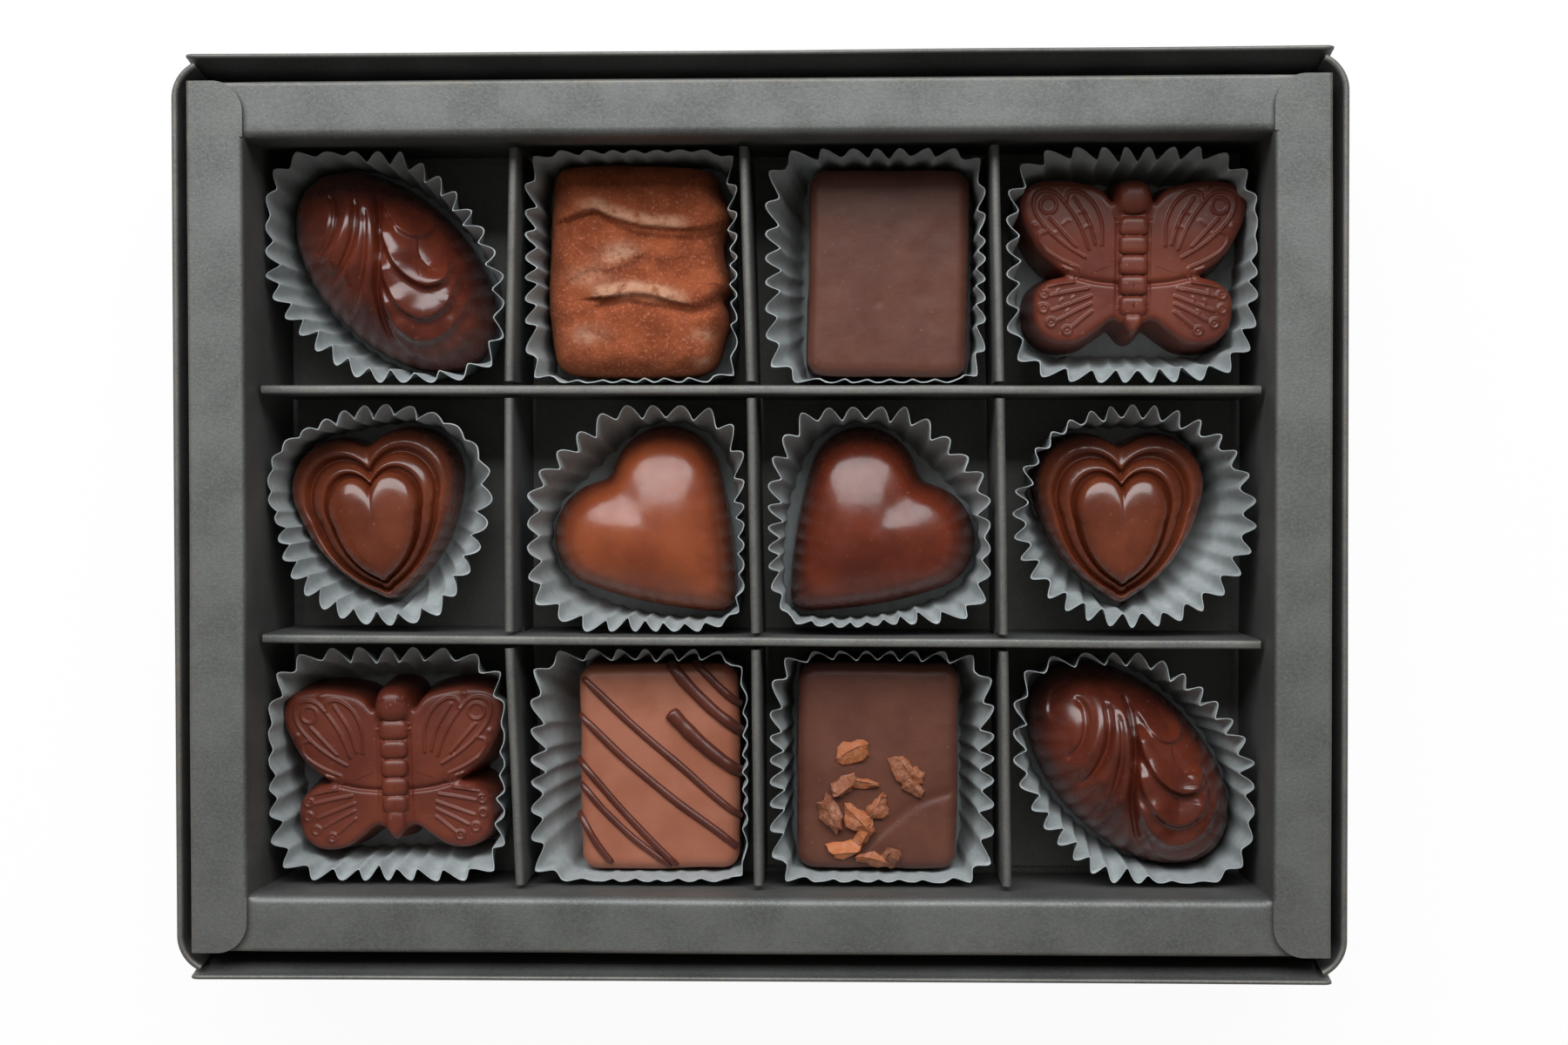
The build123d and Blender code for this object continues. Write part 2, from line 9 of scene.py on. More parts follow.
import bpy
import numpy as np
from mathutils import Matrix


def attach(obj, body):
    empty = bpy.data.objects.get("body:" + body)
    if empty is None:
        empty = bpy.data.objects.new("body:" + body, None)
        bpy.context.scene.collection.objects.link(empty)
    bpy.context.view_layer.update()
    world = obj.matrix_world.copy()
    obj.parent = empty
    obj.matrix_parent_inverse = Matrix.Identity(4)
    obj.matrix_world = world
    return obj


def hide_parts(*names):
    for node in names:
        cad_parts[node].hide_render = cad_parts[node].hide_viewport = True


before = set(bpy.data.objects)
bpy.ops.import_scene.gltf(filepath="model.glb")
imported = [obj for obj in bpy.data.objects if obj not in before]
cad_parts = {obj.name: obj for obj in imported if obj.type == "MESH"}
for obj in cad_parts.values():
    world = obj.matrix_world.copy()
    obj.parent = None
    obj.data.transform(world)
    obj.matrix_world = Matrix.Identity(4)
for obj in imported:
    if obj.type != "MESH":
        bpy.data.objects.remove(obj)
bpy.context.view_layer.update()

Array = np.ndarray
Places = Sequence[tuple[float, ...]]
Tree = bpy.types.NodeTree
Socket = bpy.types.NodeSocket
MM = 0.001
log = logging.getLogger("chocolate_box")


# Shapes: curves, fields and skins, in millimetres


def even_steps(run: Array, count: int, closed: bool) -> Array:
    """Places spaced evenly along a run of straight pieces, found by its summed length.

    Args:
        run: Corners of the run, first equal to last where it is closed.
        count: How many places.
        closed: Whether the last place stops one step short of the first.

    Returns:
        The places, one row each.
    """
    length = np.concatenate(([0.0], np.cumsum(np.linalg.norm(np.diff(run, axis=0), axis=1))))
    at = np.linspace(0.0, length[-1], count, endpoint=not closed)
    return np.stack([np.interp(at, length, run[:, k]) for k in range(run.shape[1])], axis=1)


def smooth_curve(points: Places, count: int, closed: bool = False) -> Array:
    """A curve through points: on each span a cubic blend of four neighbours (Catmull-Rom).

    Args:
        points: Places that the curve passes.
        count: How many evenly spaced places come back.
        closed: Whether the curve returns to its start.

    Returns:
        The places, one row each.
    """
    given = np.asarray(points, float)
    size = len(given)
    spans = size if closed else size - 1
    at = np.linspace(0.0, spans, 14 * spans + 1)
    first = np.minimum(at.astype(int), spans - 1)
    u = (at - first)[:, None]

    def pick(k: Array) -> Array:
        """The given place of a number, wrapped or held at the ends."""
        return given[k % size] if closed else given[np.clip(k, 0, size - 1)]

    a, b, c, d = pick(first - 1), pick(first), pick(first + 1), pick(first + 2)
    fine = 0.5 * (2 * b + (c - a) * u + (2 * a - 5 * b + 4 * c - d) * u**2 + (3 * b - a - 3 * c + d) * u**3)
    return even_steps(fine, count, closed)


def arc_through(start: tuple, middle: tuple, end: tuple, count: int = 24) -> Array:
    """A circular arc through three places: its centre is where their perpendicular bisectors meet.

    Args:
        start: First place.
        middle: A place that the arc passes.
        end: Last place.
        count: How many places.

    Returns:
        The places along the arc.
    """
    a, b, c = (complex(*place) for place in (start, middle, end))
    w = (c - a) / (b - a)
    centre = a + (b - a) * (w - abs(w) ** 2) / (2j * w.imag)
    first = np.angle(a - centre)
    turn = (np.angle(c - centre) - first) % (2 * math.pi)
    half = (np.angle(b - centre) - first) % (2 * math.pi)
    if half > turn:
        turn -= 2 * math.pi
    places = centre + abs(a - centre) * np.exp(1j * (first + np.linspace(0, turn, count)))
    return np.stack([places.real, places.imag], axis=1)


def soften(outline: Array, reach: float) -> Array:
    """Rounds a closed outline: its waves are damped by a Gaussian of their number of turns per millimetre.

    Args:
        outline: Evenly spaced closed outline.
        reach: Width of the rounding in millimetres.

    Returns:
        The rounded outline, with as many places.
    """
    length = np.linalg.norm(np.roll(outline, -1, axis=0) - outline, axis=1).sum()
    waves = np.fft.fftfreq(len(outline), length / len(outline))
    damping = np.exp(-2 * (math.pi * waves * reach) ** 2)
    places = np.fft.ifft(np.fft.fft(outline[:, 0] + 1j * outline[:, 1]) * damping)
    return np.stack([places.real, places.imag], axis=1)


def outward(outline: Array) -> Array:
    """Unit normals of a closed counterclockwise outline: its direction turned a quarter to the right.

    Args:
        outline: Closed outline.

    Returns:
        The normals, one for each place.
    """
    along = np.roll(outline, -1, axis=0) - np.roll(outline, 1, axis=0)
    normal = np.stack([along[:, 1], -along[:, 0]], axis=1)
    return normal / np.linalg.norm(normal, axis=1, keepdims=True)


def path_gap(x: Array, y: Array, path: Array) -> tuple[Array, Array, Array]:
    """Distance from places to a run of straight pieces, by the nearest point of each piece.

    Args:
        x: First coordinates.
        y: Second coordinates.
        path: Corners of the run.

    Returns:
        The distances, +1 or -1 for the left or right side, and how far along the run, from 0 to 1.
    """
    start, step = path[:-1], np.diff(path, axis=0)
    px, py = x[:, None] - start[:, 0], y[:, None] - start[:, 1]
    along = np.clip((px * step[:, 0] + py * step[:, 1]) / np.maximum((step**2).sum(1), 1e-9), 0, 1)
    gaps = np.hypot(px - along * step[:, 0], py - along * step[:, 1])
    nearest = gaps.argmin(1)
    row = np.arange(len(x))
    cross = step[nearest, 0] * py[row, nearest] - step[nearest, 1] * px[row, nearest]
    share = (nearest + along[row, nearest]) / len(start)
    return gaps[row, nearest], np.where(cross >= 0, 1.0, -1.0), share


def lattice_noise(x: Array, y: Array, grain: float, seed: int) -> Array:
    """Soft random heights: seeded values on a square lattice, blended by a smooth step between corners.

    Args:
        x: First coordinates in millimetres; a column of them serves every place of its row.
        y: Second coordinates in millimetres.
        grain: Lattice spacing in millimetres.
        seed: Which random table.

    Returns:
        Values between -1 and 1.
    """
    size = 61
    table = np.random.default_rng(seed).uniform(-1, 1, (size, size))
    u, v = x / grain, y / grain
    i, j = np.floor(u).astype(int), np.floor(v).astype(int)
    a, b = ramp(u - i, 0, 1), ramp(v - j, 0, 1)
    i, j, right, back = i % size, j % size, (i + 1) % size, (j + 1) % size
    low = table[i, j] * (1 - a) + table[right, j] * a
    high = table[i, back] * (1 - a) + table[right, back] * a
    return low * (1 - b) + high * b


def ramp(value: Array, low: float, high: float) -> Array:
    """Zero below low, one above high, and a smooth step between."""
    t = np.clip((value - low) / (high - low), 0, 1)
    return t * t * (3 - 2 * t)


def bend(centre: tuple[float, float], radius: float, start: float, end: float, count: int = 7) -> list:
    """Places on an arc given by its centre, radius and two angles in degrees."""
    turn = np.radians(np.linspace(start, end, count))
    return list(zip(centre[0] + radius * np.cos(turn), centre[1] + radius * np.sin(turn)))


def turned(x: Array, y: Array, degrees: float) -> tuple[Array, Array]:
    """Places turned counterclockwise about the origin."""
    cos, sin = math.cos(math.radians(degrees)), math.sin(math.radians(degrees))
    return x * cos - y * sin, x * sin + y * cos


def bell(x: Array, y: Array, at: tuple[float, float], wide: float, flat: float = 1.0) -> Array:
    """A bump of height 1 about a place: e to minus its squared distance in widths, squeezed by flat."""
    return np.exp(-(((x - at[0]) / wide) ** 2 + ((y - at[1]) / (flat * wide)) ** 2))


@dataclass(frozen=True)
class Line:
    """One raised or sunk line of a mould: where it runs, how high it is and how wide each flank is.

    Its height grows from nothing over the taper, a share of its length, at both ends.
    """

    path: Places
    height: float
    left: float
    right: float
    closed: bool = False
    taper: float = 0.0
    fades_at: ClassVar[float] = 2.6

    def rise(self, x: Array, y: Array) -> Array:
        """Height of the line at places: a bell of the distance, with its own width on each side.

        Args:
            x: First coordinates.
            y: Second coordinates.

        Returns:
            The heights.
        """
        run = smooth_curve(self.path, max(12, 5 * len(self.path)), self.closed)
        if self.closed:
            run = np.concatenate((run, run[:1]))
        reach = self.fades_at * max(self.left, self.right)
        low, high = run.min(0) - reach, run.max(0) + reach
        near = (x > low[0]) & (x < high[0]) & (y > low[1]) & (y < high[1])
        out = np.zeros(x.shape)
        if near.any():
            gap, side, share = path_gap(x[near], y[near], run)
            grown = ramp(np.minimum(share, 1 - share), 0, self.taper) if self.taper else 1.0
            wide = np.where(side > 0, self.left, self.right)
            out[near] = self.height * grown * np.exp(-((gap / wide) ** 2))
        return out


def relief(lines: Sequence[Line], x: Array, y: Array) -> Array:
    """Sum of all lines' heights at places on a grid.

    Args:
        lines: Raised and sunk lines.
        x: First coordinates.
        y: Second coordinates.

    Returns:
        The heights, in the grid's form.
    """
    flat_x, flat_y = x.ravel(), y.ravel()
    total = np.zeros(flat_x.shape)
    for line in lines:
        total += line.rise(flat_x, flat_y)
    return total.reshape(x.shape)


class Skin:
    """A mesh that is gathered from closed shells, in millimetres."""

    def __init__(self) -> None:
        """Starts with nothing."""
        self.points: list[Array] = []
        self.faces: list[list[int]] = []
        self.wear: list[Array] = []
        self.count = 0

    def shell(self, rings: Array, crown: Array | None = None, wear: Array | None = None) -> None:
        """Adds one closed shell from a stack of closed rings, turned so that its faces point outwards.

        The shell's sign is that of its volume, a sum of triple products. Its first ring is closed flat,
        and its last ring is closed flat or in a crown point.

        Args:
            rings: Rings by places by three coordinates.
            crown: The point that closes the last ring.
            wear: A value from 0 to 1 for each place.
        """
        rows, columns = rings.shape[:2]
        points = rings.reshape(-1, 3)
        index = np.arange(rows * columns).reshape(rows, columns)
        low, high = index[:-1], index[1:]
        quads = np.stack([low, np.roll(low, -1, 1), np.roll(high, -1, 1), high], axis=-1).reshape(-1, 4)
        faces = quads.tolist() + [index[0][::-1].tolist()]
        if crown is None:
            faces.append(index[-1].tolist())
        else:
            points = np.concatenate((points, np.asarray(crown, float)[None]))
            top = np.stack([index[-1], np.roll(index[-1], -1), np.full(columns, len(points) - 1)], axis=-1)
            faces += top.tolist()
        centred = points - points.mean(0)
        a, b, c, d = (centred[quads[:, k]] for k in range(4))
        volume = (np.cross(a, b) * c).sum() + (np.cross(a, c) * d).sum()
        if volume < 0:
            faces = [face[::-1] for face in faces]
        self.faces += [[corner + self.count for corner in face] for face in faces]
        self.points.append(points)
        values = np.zeros(len(points))
        if wear is not None:
            values[: rows * columns] = np.broadcast_to(wear, (rows, columns)).ravel()
        self.wear.append(values)
        self.count += len(points)

    def mesh(self, name: str, sharp: float | None = None, flat: bool = False) -> bpy.types.Mesh:
        """Writes the gathered shells as a Blender mesh in metres.

        Args:
            name: Name of the mesh.
            sharp: Angle in degrees past which an edge stays sharp.
            flat: Whether every face is shaded flat.

        Returns:
            The mesh, with its wear as an attribute.
        """
        mesh = bpy.data.meshes.new(name)
        points = np.concatenate(self.points) * MM
        mesh.from_pydata(points.tolist(), [], self.faces)
        mesh.polygons.foreach_set("use_smooth", np.full(len(mesh.polygons), not flat))
        if sharp is not None:
            mesh.set_sharp_from_angle(angle=math.radians(sharp))
        wear = mesh.attributes.new("wear", "FLOAT", "POINT")
        wear.data.foreach_set("value", np.concatenate(self.wear).astype(np.float32))
        mesh.update()
        return mesh


def place_piece(name: str, mesh: bpy.types.Mesh, finish: "Finish", body: str, node: str) -> None:
    """Puts a mesh into the scene in place of a node.

    Args:
        name: Name of the piece.
        mesh: Its mesh, in the frame's metres.
        finish: Its finish.
        body: Body that it moves with.
        node: Node that it stands for.
    """
    piece = bpy.data.objects.new(name, mesh)
    bpy.context.scene.collection.objects.link(piece)
    mesh.materials.append(finish.material())
    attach(piece, body)
    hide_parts(node)
    log.info("%s: %d faces on %s", name, len(mesh.polygons), body)


# Finishes


def linear(colour: str) -> tuple[float, float, float, float]:
    """Turns an sRGB hex colour to linear light: (c / 12.92) when dark, else ((c + .055) / 1.055) to 2.4.

    Args:
        colour: The colour as # and six hex digits.

    Returns:
        Red, green, blue and 1.
    """
    parts = [int(colour[k : k + 2], 16) / 255 for k in (1, 3, 5)]
    red, green, blue = (c / 12.92 if c <= 0.04045 else ((c + 0.055) / 1.055) ** 2.4 for c in parts)
    return (red, green, blue, 1.0)


def per_metre(size_mm: float) -> float:
    """Noise scale that gives marks of a size, because the object's coordinates are metres."""
    return 1.0 / (size_mm * MM)


def add_node(tree: Tree, kind: str, settings: dict | None = None, **sockets: Socket | float | tuple
             ) -> bpy.types.Node:
    """Adds a node with its settings, its values and its links.

    Args:
        tree: Node tree that takes the node.
        kind: Blender's name of the node type.
        settings: Properties of the node.
        **sockets: Input values or links, by socket name with underscores, or by in_ and the socket's number.

    Returns:
        The node.
    """
    node = tree.nodes.new(kind)
    for key, value in (settings or {}).items():
        setattr(node, key, value)
    for key, value in sockets.items():
        socket = node.inputs[int(key[3:])] if key.startswith("in_") else node.inputs[key.replace("_", " ")]
        if isinstance(value, Socket):
            tree.links.new(value, socket)
        else:
            socket.default_value = value
    return node


@dataclass(frozen=True)
class Finish:
    """A finish that is made once and shared by its pieces."""

    name: str
    slot: str
    made: ClassVar[dict[str, bpy.types.Material]] = {}

    def material(self) -> bpy.types.Material:
        """The finish's material, made on its first use.

        Returns:
            The material.
        """
        if self.name not in Finish.made:
            material = bpy.data.materials.new(self.name)
            material.use_nodes = True
            tree = material.node_tree
            tree.nodes.clear()
            place = add_node(tree, "ShaderNodeTexCoord").outputs["Object"]
            output = add_node(tree, "ShaderNodeOutputMaterial")
            tree.links.new(self.surface(tree, place), output.inputs["Surface"])
            Finish.made[self.name] = material
        return Finish.made[self.name]

    def surface(self, tree: Tree, place: Socket) -> Socket:
        """The finish's shader; each kind of finish has its own."""
        raise NotImplementedError

    @staticmethod
    def grain(tree: Tree, place: Socket, size: float, low: float, high: float,
              detail: float = 2.0, rough: float = 0.5) -> Socket:
        """Noise of a size in millimetres, stretched so that low gives 0 and high gives 1.

        Args:
            tree: Node tree.
            place: Coordinates.
            size: Size of the marks in millimetres.
            low: Noise value that turns to 0.
            high: Noise value that turns to 1.
            detail: How many finer octaves.
            rough: Strength of the finer octaves.

        Returns:
            The stretched value.
        """
        noise = add_node(tree, "ShaderNodeTexNoise", Vector=place, Scale=per_metre(size), Detail=detail,
                         Roughness=rough)
        span = add_node(tree, "ShaderNodeMapRange", {"interpolation_type": "SMOOTHSTEP"},
                        Value=noise.outputs["Fac"], From_Min=low, From_Max=high)
        return span.outputs["Result"]

    @staticmethod
    def blend(tree: Tree, share: Socket | float, first: Socket | tuple, second: Socket | tuple) -> Socket:
        """Mixes two colours by a share."""
        mix = add_node(tree, "ShaderNodeMix", {"data_type": "RGBA"}, in_0=share, in_6=first, in_7=second)
        return mix.outputs[2]

    @staticmethod
    def times(tree: Tree, first: Socket, second: Socket | float) -> Socket:
        """Product of two values, held between 0 and 1."""
        return add_node(tree, "ShaderNodeMath", {"operation": "MULTIPLY", "use_clamp": True}, in_0=first,
                        in_1=second).outputs[0]

    @staticmethod
    def worn(tree: Tree) -> Socket:
        """The mesh's own wear."""
        return add_node(tree, "ShaderNodeAttribute", {"attribute_name": "wear"}).outputs["Fac"]

    @staticmethod
    def principled(tree: Tree, colour: Socket, roughness: Socket | float, height: Socket, strength: float,
                   depth: float, **more: float | tuple) -> Socket:
        """A principled surface with a bump.

        Args:
            tree: Node tree.
            colour: Its colour.
            roughness: Its roughness.
            height: Height of the bump, from 0 to 1.
            strength: Strength of the bump.
            depth: Depth of the bump in millimetres.
            **more: Other input values, by name with underscores.

        Returns:
            The shader.
        """
        bump = add_node(tree, "ShaderNodeBump", Strength=strength, Distance=depth * MM, Height=height)
        inputs = {"IOR": 1.45, "Normal": bump.outputs["Normal"], **more}
        shader = add_node(tree, "ShaderNodeBsdfPrincipled", Base_Color=colour, Roughness=roughness, **inputs)
        return shader.outputs["BSDF"]


@dataclass(frozen=True)
class PearlCard(Finish):
    """Coated card printed charcoal with a pearl varnish, creased and folded.

    The varnish is a fine half-metallic sheen: level faces catch the light above them and upright walls
    go nearly black. Pale fibres show as flecks of about a fifth of a millimetre, and rubbed folds and cut
    edges show a little of the brownish board.
    """

    name: str = "pearl_varnished_card_folded"
    slot: str = "black_card"
    base: str = "#717270"
    low: str = "#616260"
    mottle: str = "#888a87"
    fleck: str = "#b8b9b4"
    board: str = "#857868"
    metallic: float = 0.66
    roughness: float = 0.56

    def surface(self, tree: Tree, place: Socket) -> Socket:
        """Base colour from cloud, mottle, flecks and wear; a paper-grain bump.

        Args:
            tree: Node tree.
            place: Coordinates.

        Returns:
            The shader.
        """
        cloud = self.grain(tree, place, 9.0, 0.3, 0.7, 3.0)
        ground = self.blend(tree, cloud, linear(self.low), linear(self.base))
        fine = self.grain(tree, place, 0.45, 0.3, 0.75, 3.0, 0.65)
        ground = self.blend(tree, self.times(tree, fine, 0.4), ground, linear(self.mottle))
        sparkle = self.grain(tree, place, 0.28, 0.6, 0.8, 1.0)
        ground = self.blend(tree, self.times(tree, sparkle, 0.2), ground, linear(self.fleck))
        rub = self.times(tree, self.worn(tree), self.grain(tree, place, 1.4, 0.4, 0.66, 4.0, 0.7))
        colour = self.blend(tree, rub, ground, linear(self.board))
        height = self.grain(tree, place, 0.32, 0.2, 0.8, 3.0, 0.6)
        return self.principled(tree, colour, self.roughness, height, 0.22, 0.06, Metallic=self.metallic)


@dataclass(frozen=True)
class Glassine(Finish):
    """Thin grey glassine paper, pleated: light passes softly through it, so that rims and shoulders glow."""

    name: str = "grey_glassine_pleated"
    slot: str = "cup_paper"
    base: str = "#c2c9ca"
    low: str = "#b2b9ba"
    through: str = "#c3c8c9"
    share_through: float = 0.16
    roughness: float = 0.48

    def surface(self, tree: Tree, place: Socket) -> Socket:
        """Faint cloudy paper, a soft sheen, and part of the light let through.

        Args:
            tree: Node tree.
            place: Coordinates.

        Returns:
            The shader.
        """
        cloud = self.grain(tree, place, 1.8, 0.3, 0.7, 4.0, 0.6)
        colour = self.blend(tree, cloud, linear(self.low), linear(self.base))
        height = self.grain(tree, place, 0.5, 0.2, 0.8, 3.0)
        paper = self.principled(tree, colour, self.roughness, height, 0.15, 0.04)
        glow = add_node(tree, "ShaderNodeBsdfTranslucent", Color=linear(self.through))
        mix = add_node(tree, "ShaderNodeMixShader", in_0=self.share_through, in_1=paper,
                       in_2=glow.outputs["BSDF"])
        return mix.outputs["Shader"]


@dataclass(frozen=True)
class Chocolate(Finish):
    """Tempered chocolate.

    Cast against a polished mould it is glossy, with crisp window highlights. Enrobed and set in air it is
    satin, with a broad soft sheen. Cocoa butter gives both a slightly cloudy depth and a few pale specks.
    """

    name: str = "dark_chocolate_moulded"
    slot: str = "dark_chocolate"
    base: str = "#70351f"
    deep: str = "#5d2917"
    roughness: float = 0.24
    coat: float = 0.35
    coat_roughness: float = 0.1
    speck: float = 0.2
    waver: float = 0.05
    bloom: str = "#a9745c"

    def surface(self, tree: Tree, place: Socket) -> Socket:
        """Two close browns in soft clouds, pale specks, and a gentle unevenness of the gloss.

        Args:
            tree: Node tree.
            place: Coordinates.

        Returns:
            The shader.
        """
        cloud = self.grain(tree, place, 6.5, 0.32, 0.68, 3.0)
        ground = self.blend(tree, cloud, linear(self.deep), linear(self.base))
        specks = self.times(tree, self.grain(tree, place, 0.55, 0.785, 0.83, 0.0), self.speck)
        colour = self.blend(tree, specks, ground, linear(self.bloom))
        haze = self.grain(tree, place, 2.4, 0.25, 0.75, 4.0, 0.6)
        rough = add_node(tree, "ShaderNodeMapRange", Value=haze, To_Min=self.roughness - 0.04,
                         To_Max=self.roughness + 0.06)
        height = self.grain(tree, place, 2.2, 0.2, 0.8, 3.0, 0.45)
        return self.principled(tree, colour, rough.outputs["Result"], height, 0.3, self.waver, IOR=1.46,
                               Coat_Weight=self.coat, Coat_Roughness=self.coat_roughness)


@dataclass(frozen=True)
class CocoaDust(Finish):
    """Cocoa powder sifted over ganache: dead matt and grainy, rubbed paler along the folds' crests."""

    name: str = "cocoa_powder_sifted"
    slot: str = "dusted_chocolate"
    base: str = "#985032"
    dark: str = "#7b3d25"
    pale: str = "#bd8d72"
    grit: str = "#b8705a"
    sheen: str = "#c08a68"

    def surface(self, tree: Tree, place: Socket) -> Socket:
        """Powder in two browns, grains and rubbed patches, with a strong powdery bump.

        Args:
            tree: Node tree.
            place: Coordinates.

        Returns:
            The shader.
        """
        cloud = self.grain(tree, place, 5.0, 0.35, 0.65, 5.0, 0.6)
        ground = self.blend(tree, cloud, linear(self.dark), linear(self.base))
        grit = self.grain(tree, place, 0.5, 0.52, 0.72, 3.0)
        ground = self.blend(tree, self.times(tree, grit, 0.6), ground, linear(self.grit))
        patchy = self.times(tree, self.worn(tree), self.grain(tree, place, 1.4, 0.25, 0.6, 5.0, 0.65))
        colour = self.blend(tree, patchy, ground, linear(self.pale))
        grains = self.blend(tree, 0.5, self.grain(tree, place, 0.28, 0.2, 0.8, 2.0),
                            self.grain(tree, place, 1.2, 0.2, 0.8, 4.0, 0.7))
        return self.principled(tree, colour, 1.0, grains, 0.6, 0.2, Specular_IOR_Level=0.15,
                               Sheen_Weight=0.2, Sheen_Roughness=0.6, Sheen_Tint=linear(self.sheen))


@dataclass(frozen=True)
class RoastedNib(Finish):
    """Roasted cacao nibs, broken: dry and fibrous, orange-brown where fresh and darker on the husk side."""

    name: str = "cacao_nib_roasted_broken"
    slot: str = "roasted_nibs"
    fresh: str = "#bb6c3d"
    husk: str = "#6c4030"
    fibre: str = "#b98a74"

    def surface(self, tree: Tree, place: Socket) -> Socket:
        """Each chip has its own tone, with fibre streaks over it.

        Args:
            tree: Node tree.
            place: Coordinates.

        Returns:
            The shader.
        """
        ground = self.blend(tree, self.worn(tree), linear(self.husk), linear(self.fresh))
        streak = self.grain(tree, place, 0.9, 0.45, 0.7, 4.0, 0.7)
        colour = self.blend(tree, self.times(tree, streak, 0.6), ground, linear(self.fibre))
        height = self.grain(tree, place, 0.4, 0.2, 0.8, 4.0, 0.7)
        return self.principled(tree, colour, 0.62, height, 0.5, 0.12)


# The loose card is the same card with a lighter, warmer base than the folded one: painted fill light, so that
# it stays in view in the cells' shade. Its finish is rougher, with less varnish.
CARD = PearlCard()
LINER = PearlCard(name="black_card_pearlescent_liner_painted_fill", base="#7c7b76", low="#6e6d69", roughness=0.62)
PAPER = Glassine()
# Moulded pieces are glossy, and the butterflies' relief a little less so; enrobed and piped ones are satin.
DARK = Chocolate()
DARK_RED = Chocolate(name="dark_chocolate_moulded_deep", base="#6c2c19", deep="#592213", roughness=0.26,
                     coat=0.2)
OVAL = Chocolate(name="dark_chocolate_moulded_polished", base="#622919", deep="#491b11", roughness=0.24,
                 coat=0.35, coat_roughness=0.15, waver=0.02)
SATIN = Chocolate(name="dark_chocolate_moulded_satin", base="#6f3424", deep="#602a1d", roughness=0.35,
                  coat=0.0, waver=0.03, speck=0.3)
MILK_GLOSS = Chocolate(name="milk_chocolate_moulded", slot="milk_chocolate", base="#92492a", deep="#813d23",
                       roughness=0.28, coat=0.2, coat_roughness=0.14)
ENROBED = Chocolate(name="dark_chocolate_enrobed", base="#643a2c", deep="#5a3226", roughness=0.42, coat=0.0,
                    waver=0.09, speck=0.2)
MILK_SATIN = Chocolate(name="milk_chocolate_enrobed", slot="milk_chocolate", base="#a3664f", deep="#985a43",
                       roughness=0.44, coat=0.0, waver=0.06, speck=0.2)
PIPED = Chocolate(name="dark_chocolate_piped", base="#5c2a1d", deep="#4e2116", roughness=0.34, coat=0.15,
                  coat_roughness=0.25, waver=0.04, speck=0.1)
COCOA = CocoaDust()
NIB = RoastedNib()


# Folded card


@dataclass
class Box:
    """A folded box: four walls round a level card, each wall a closed section carried along its side."""

    sharp: ClassVar[float] = 42.0
    seed: ClassVar[int] = 0

    def plan(self) -> tuple[Array, tuple[float, float]]:
        """Outline of the level card and its lower and upper heights; each box has its own."""
        raise NotImplementedError

    def long_side(self, side: int, seed: int) -> tuple[Array, Array]:
        """The back or front wall; each box has its own."""
        raise NotImplementedError

    def short_side(self, side: int, seed: int) -> tuple[Array, Array]:
        """The right or left wall; each box has its own."""
        raise NotImplementedError

    def fold(self) -> bpy.types.Mesh:
        """Gathers the level card and the four walls.

        Returns:
            The box's mesh.
        """
        skin = Skin()
        outline, heights = self.plan()
        skin.shell(np.stack([np.column_stack((outline, np.full(len(outline), z))) for z in heights]))
        for side, seed in ((1, self.seed), (-1, self.seed + 4)):
            for wall, number in ((self.long_side, seed), (self.short_side, seed + 2)):
                rings, worn = wall(side, number)
                skin.shell(rings, wear=worn)
        return skin.mesh(f"{type(self).__name__.lower()}_card", sharp=self.sharp)


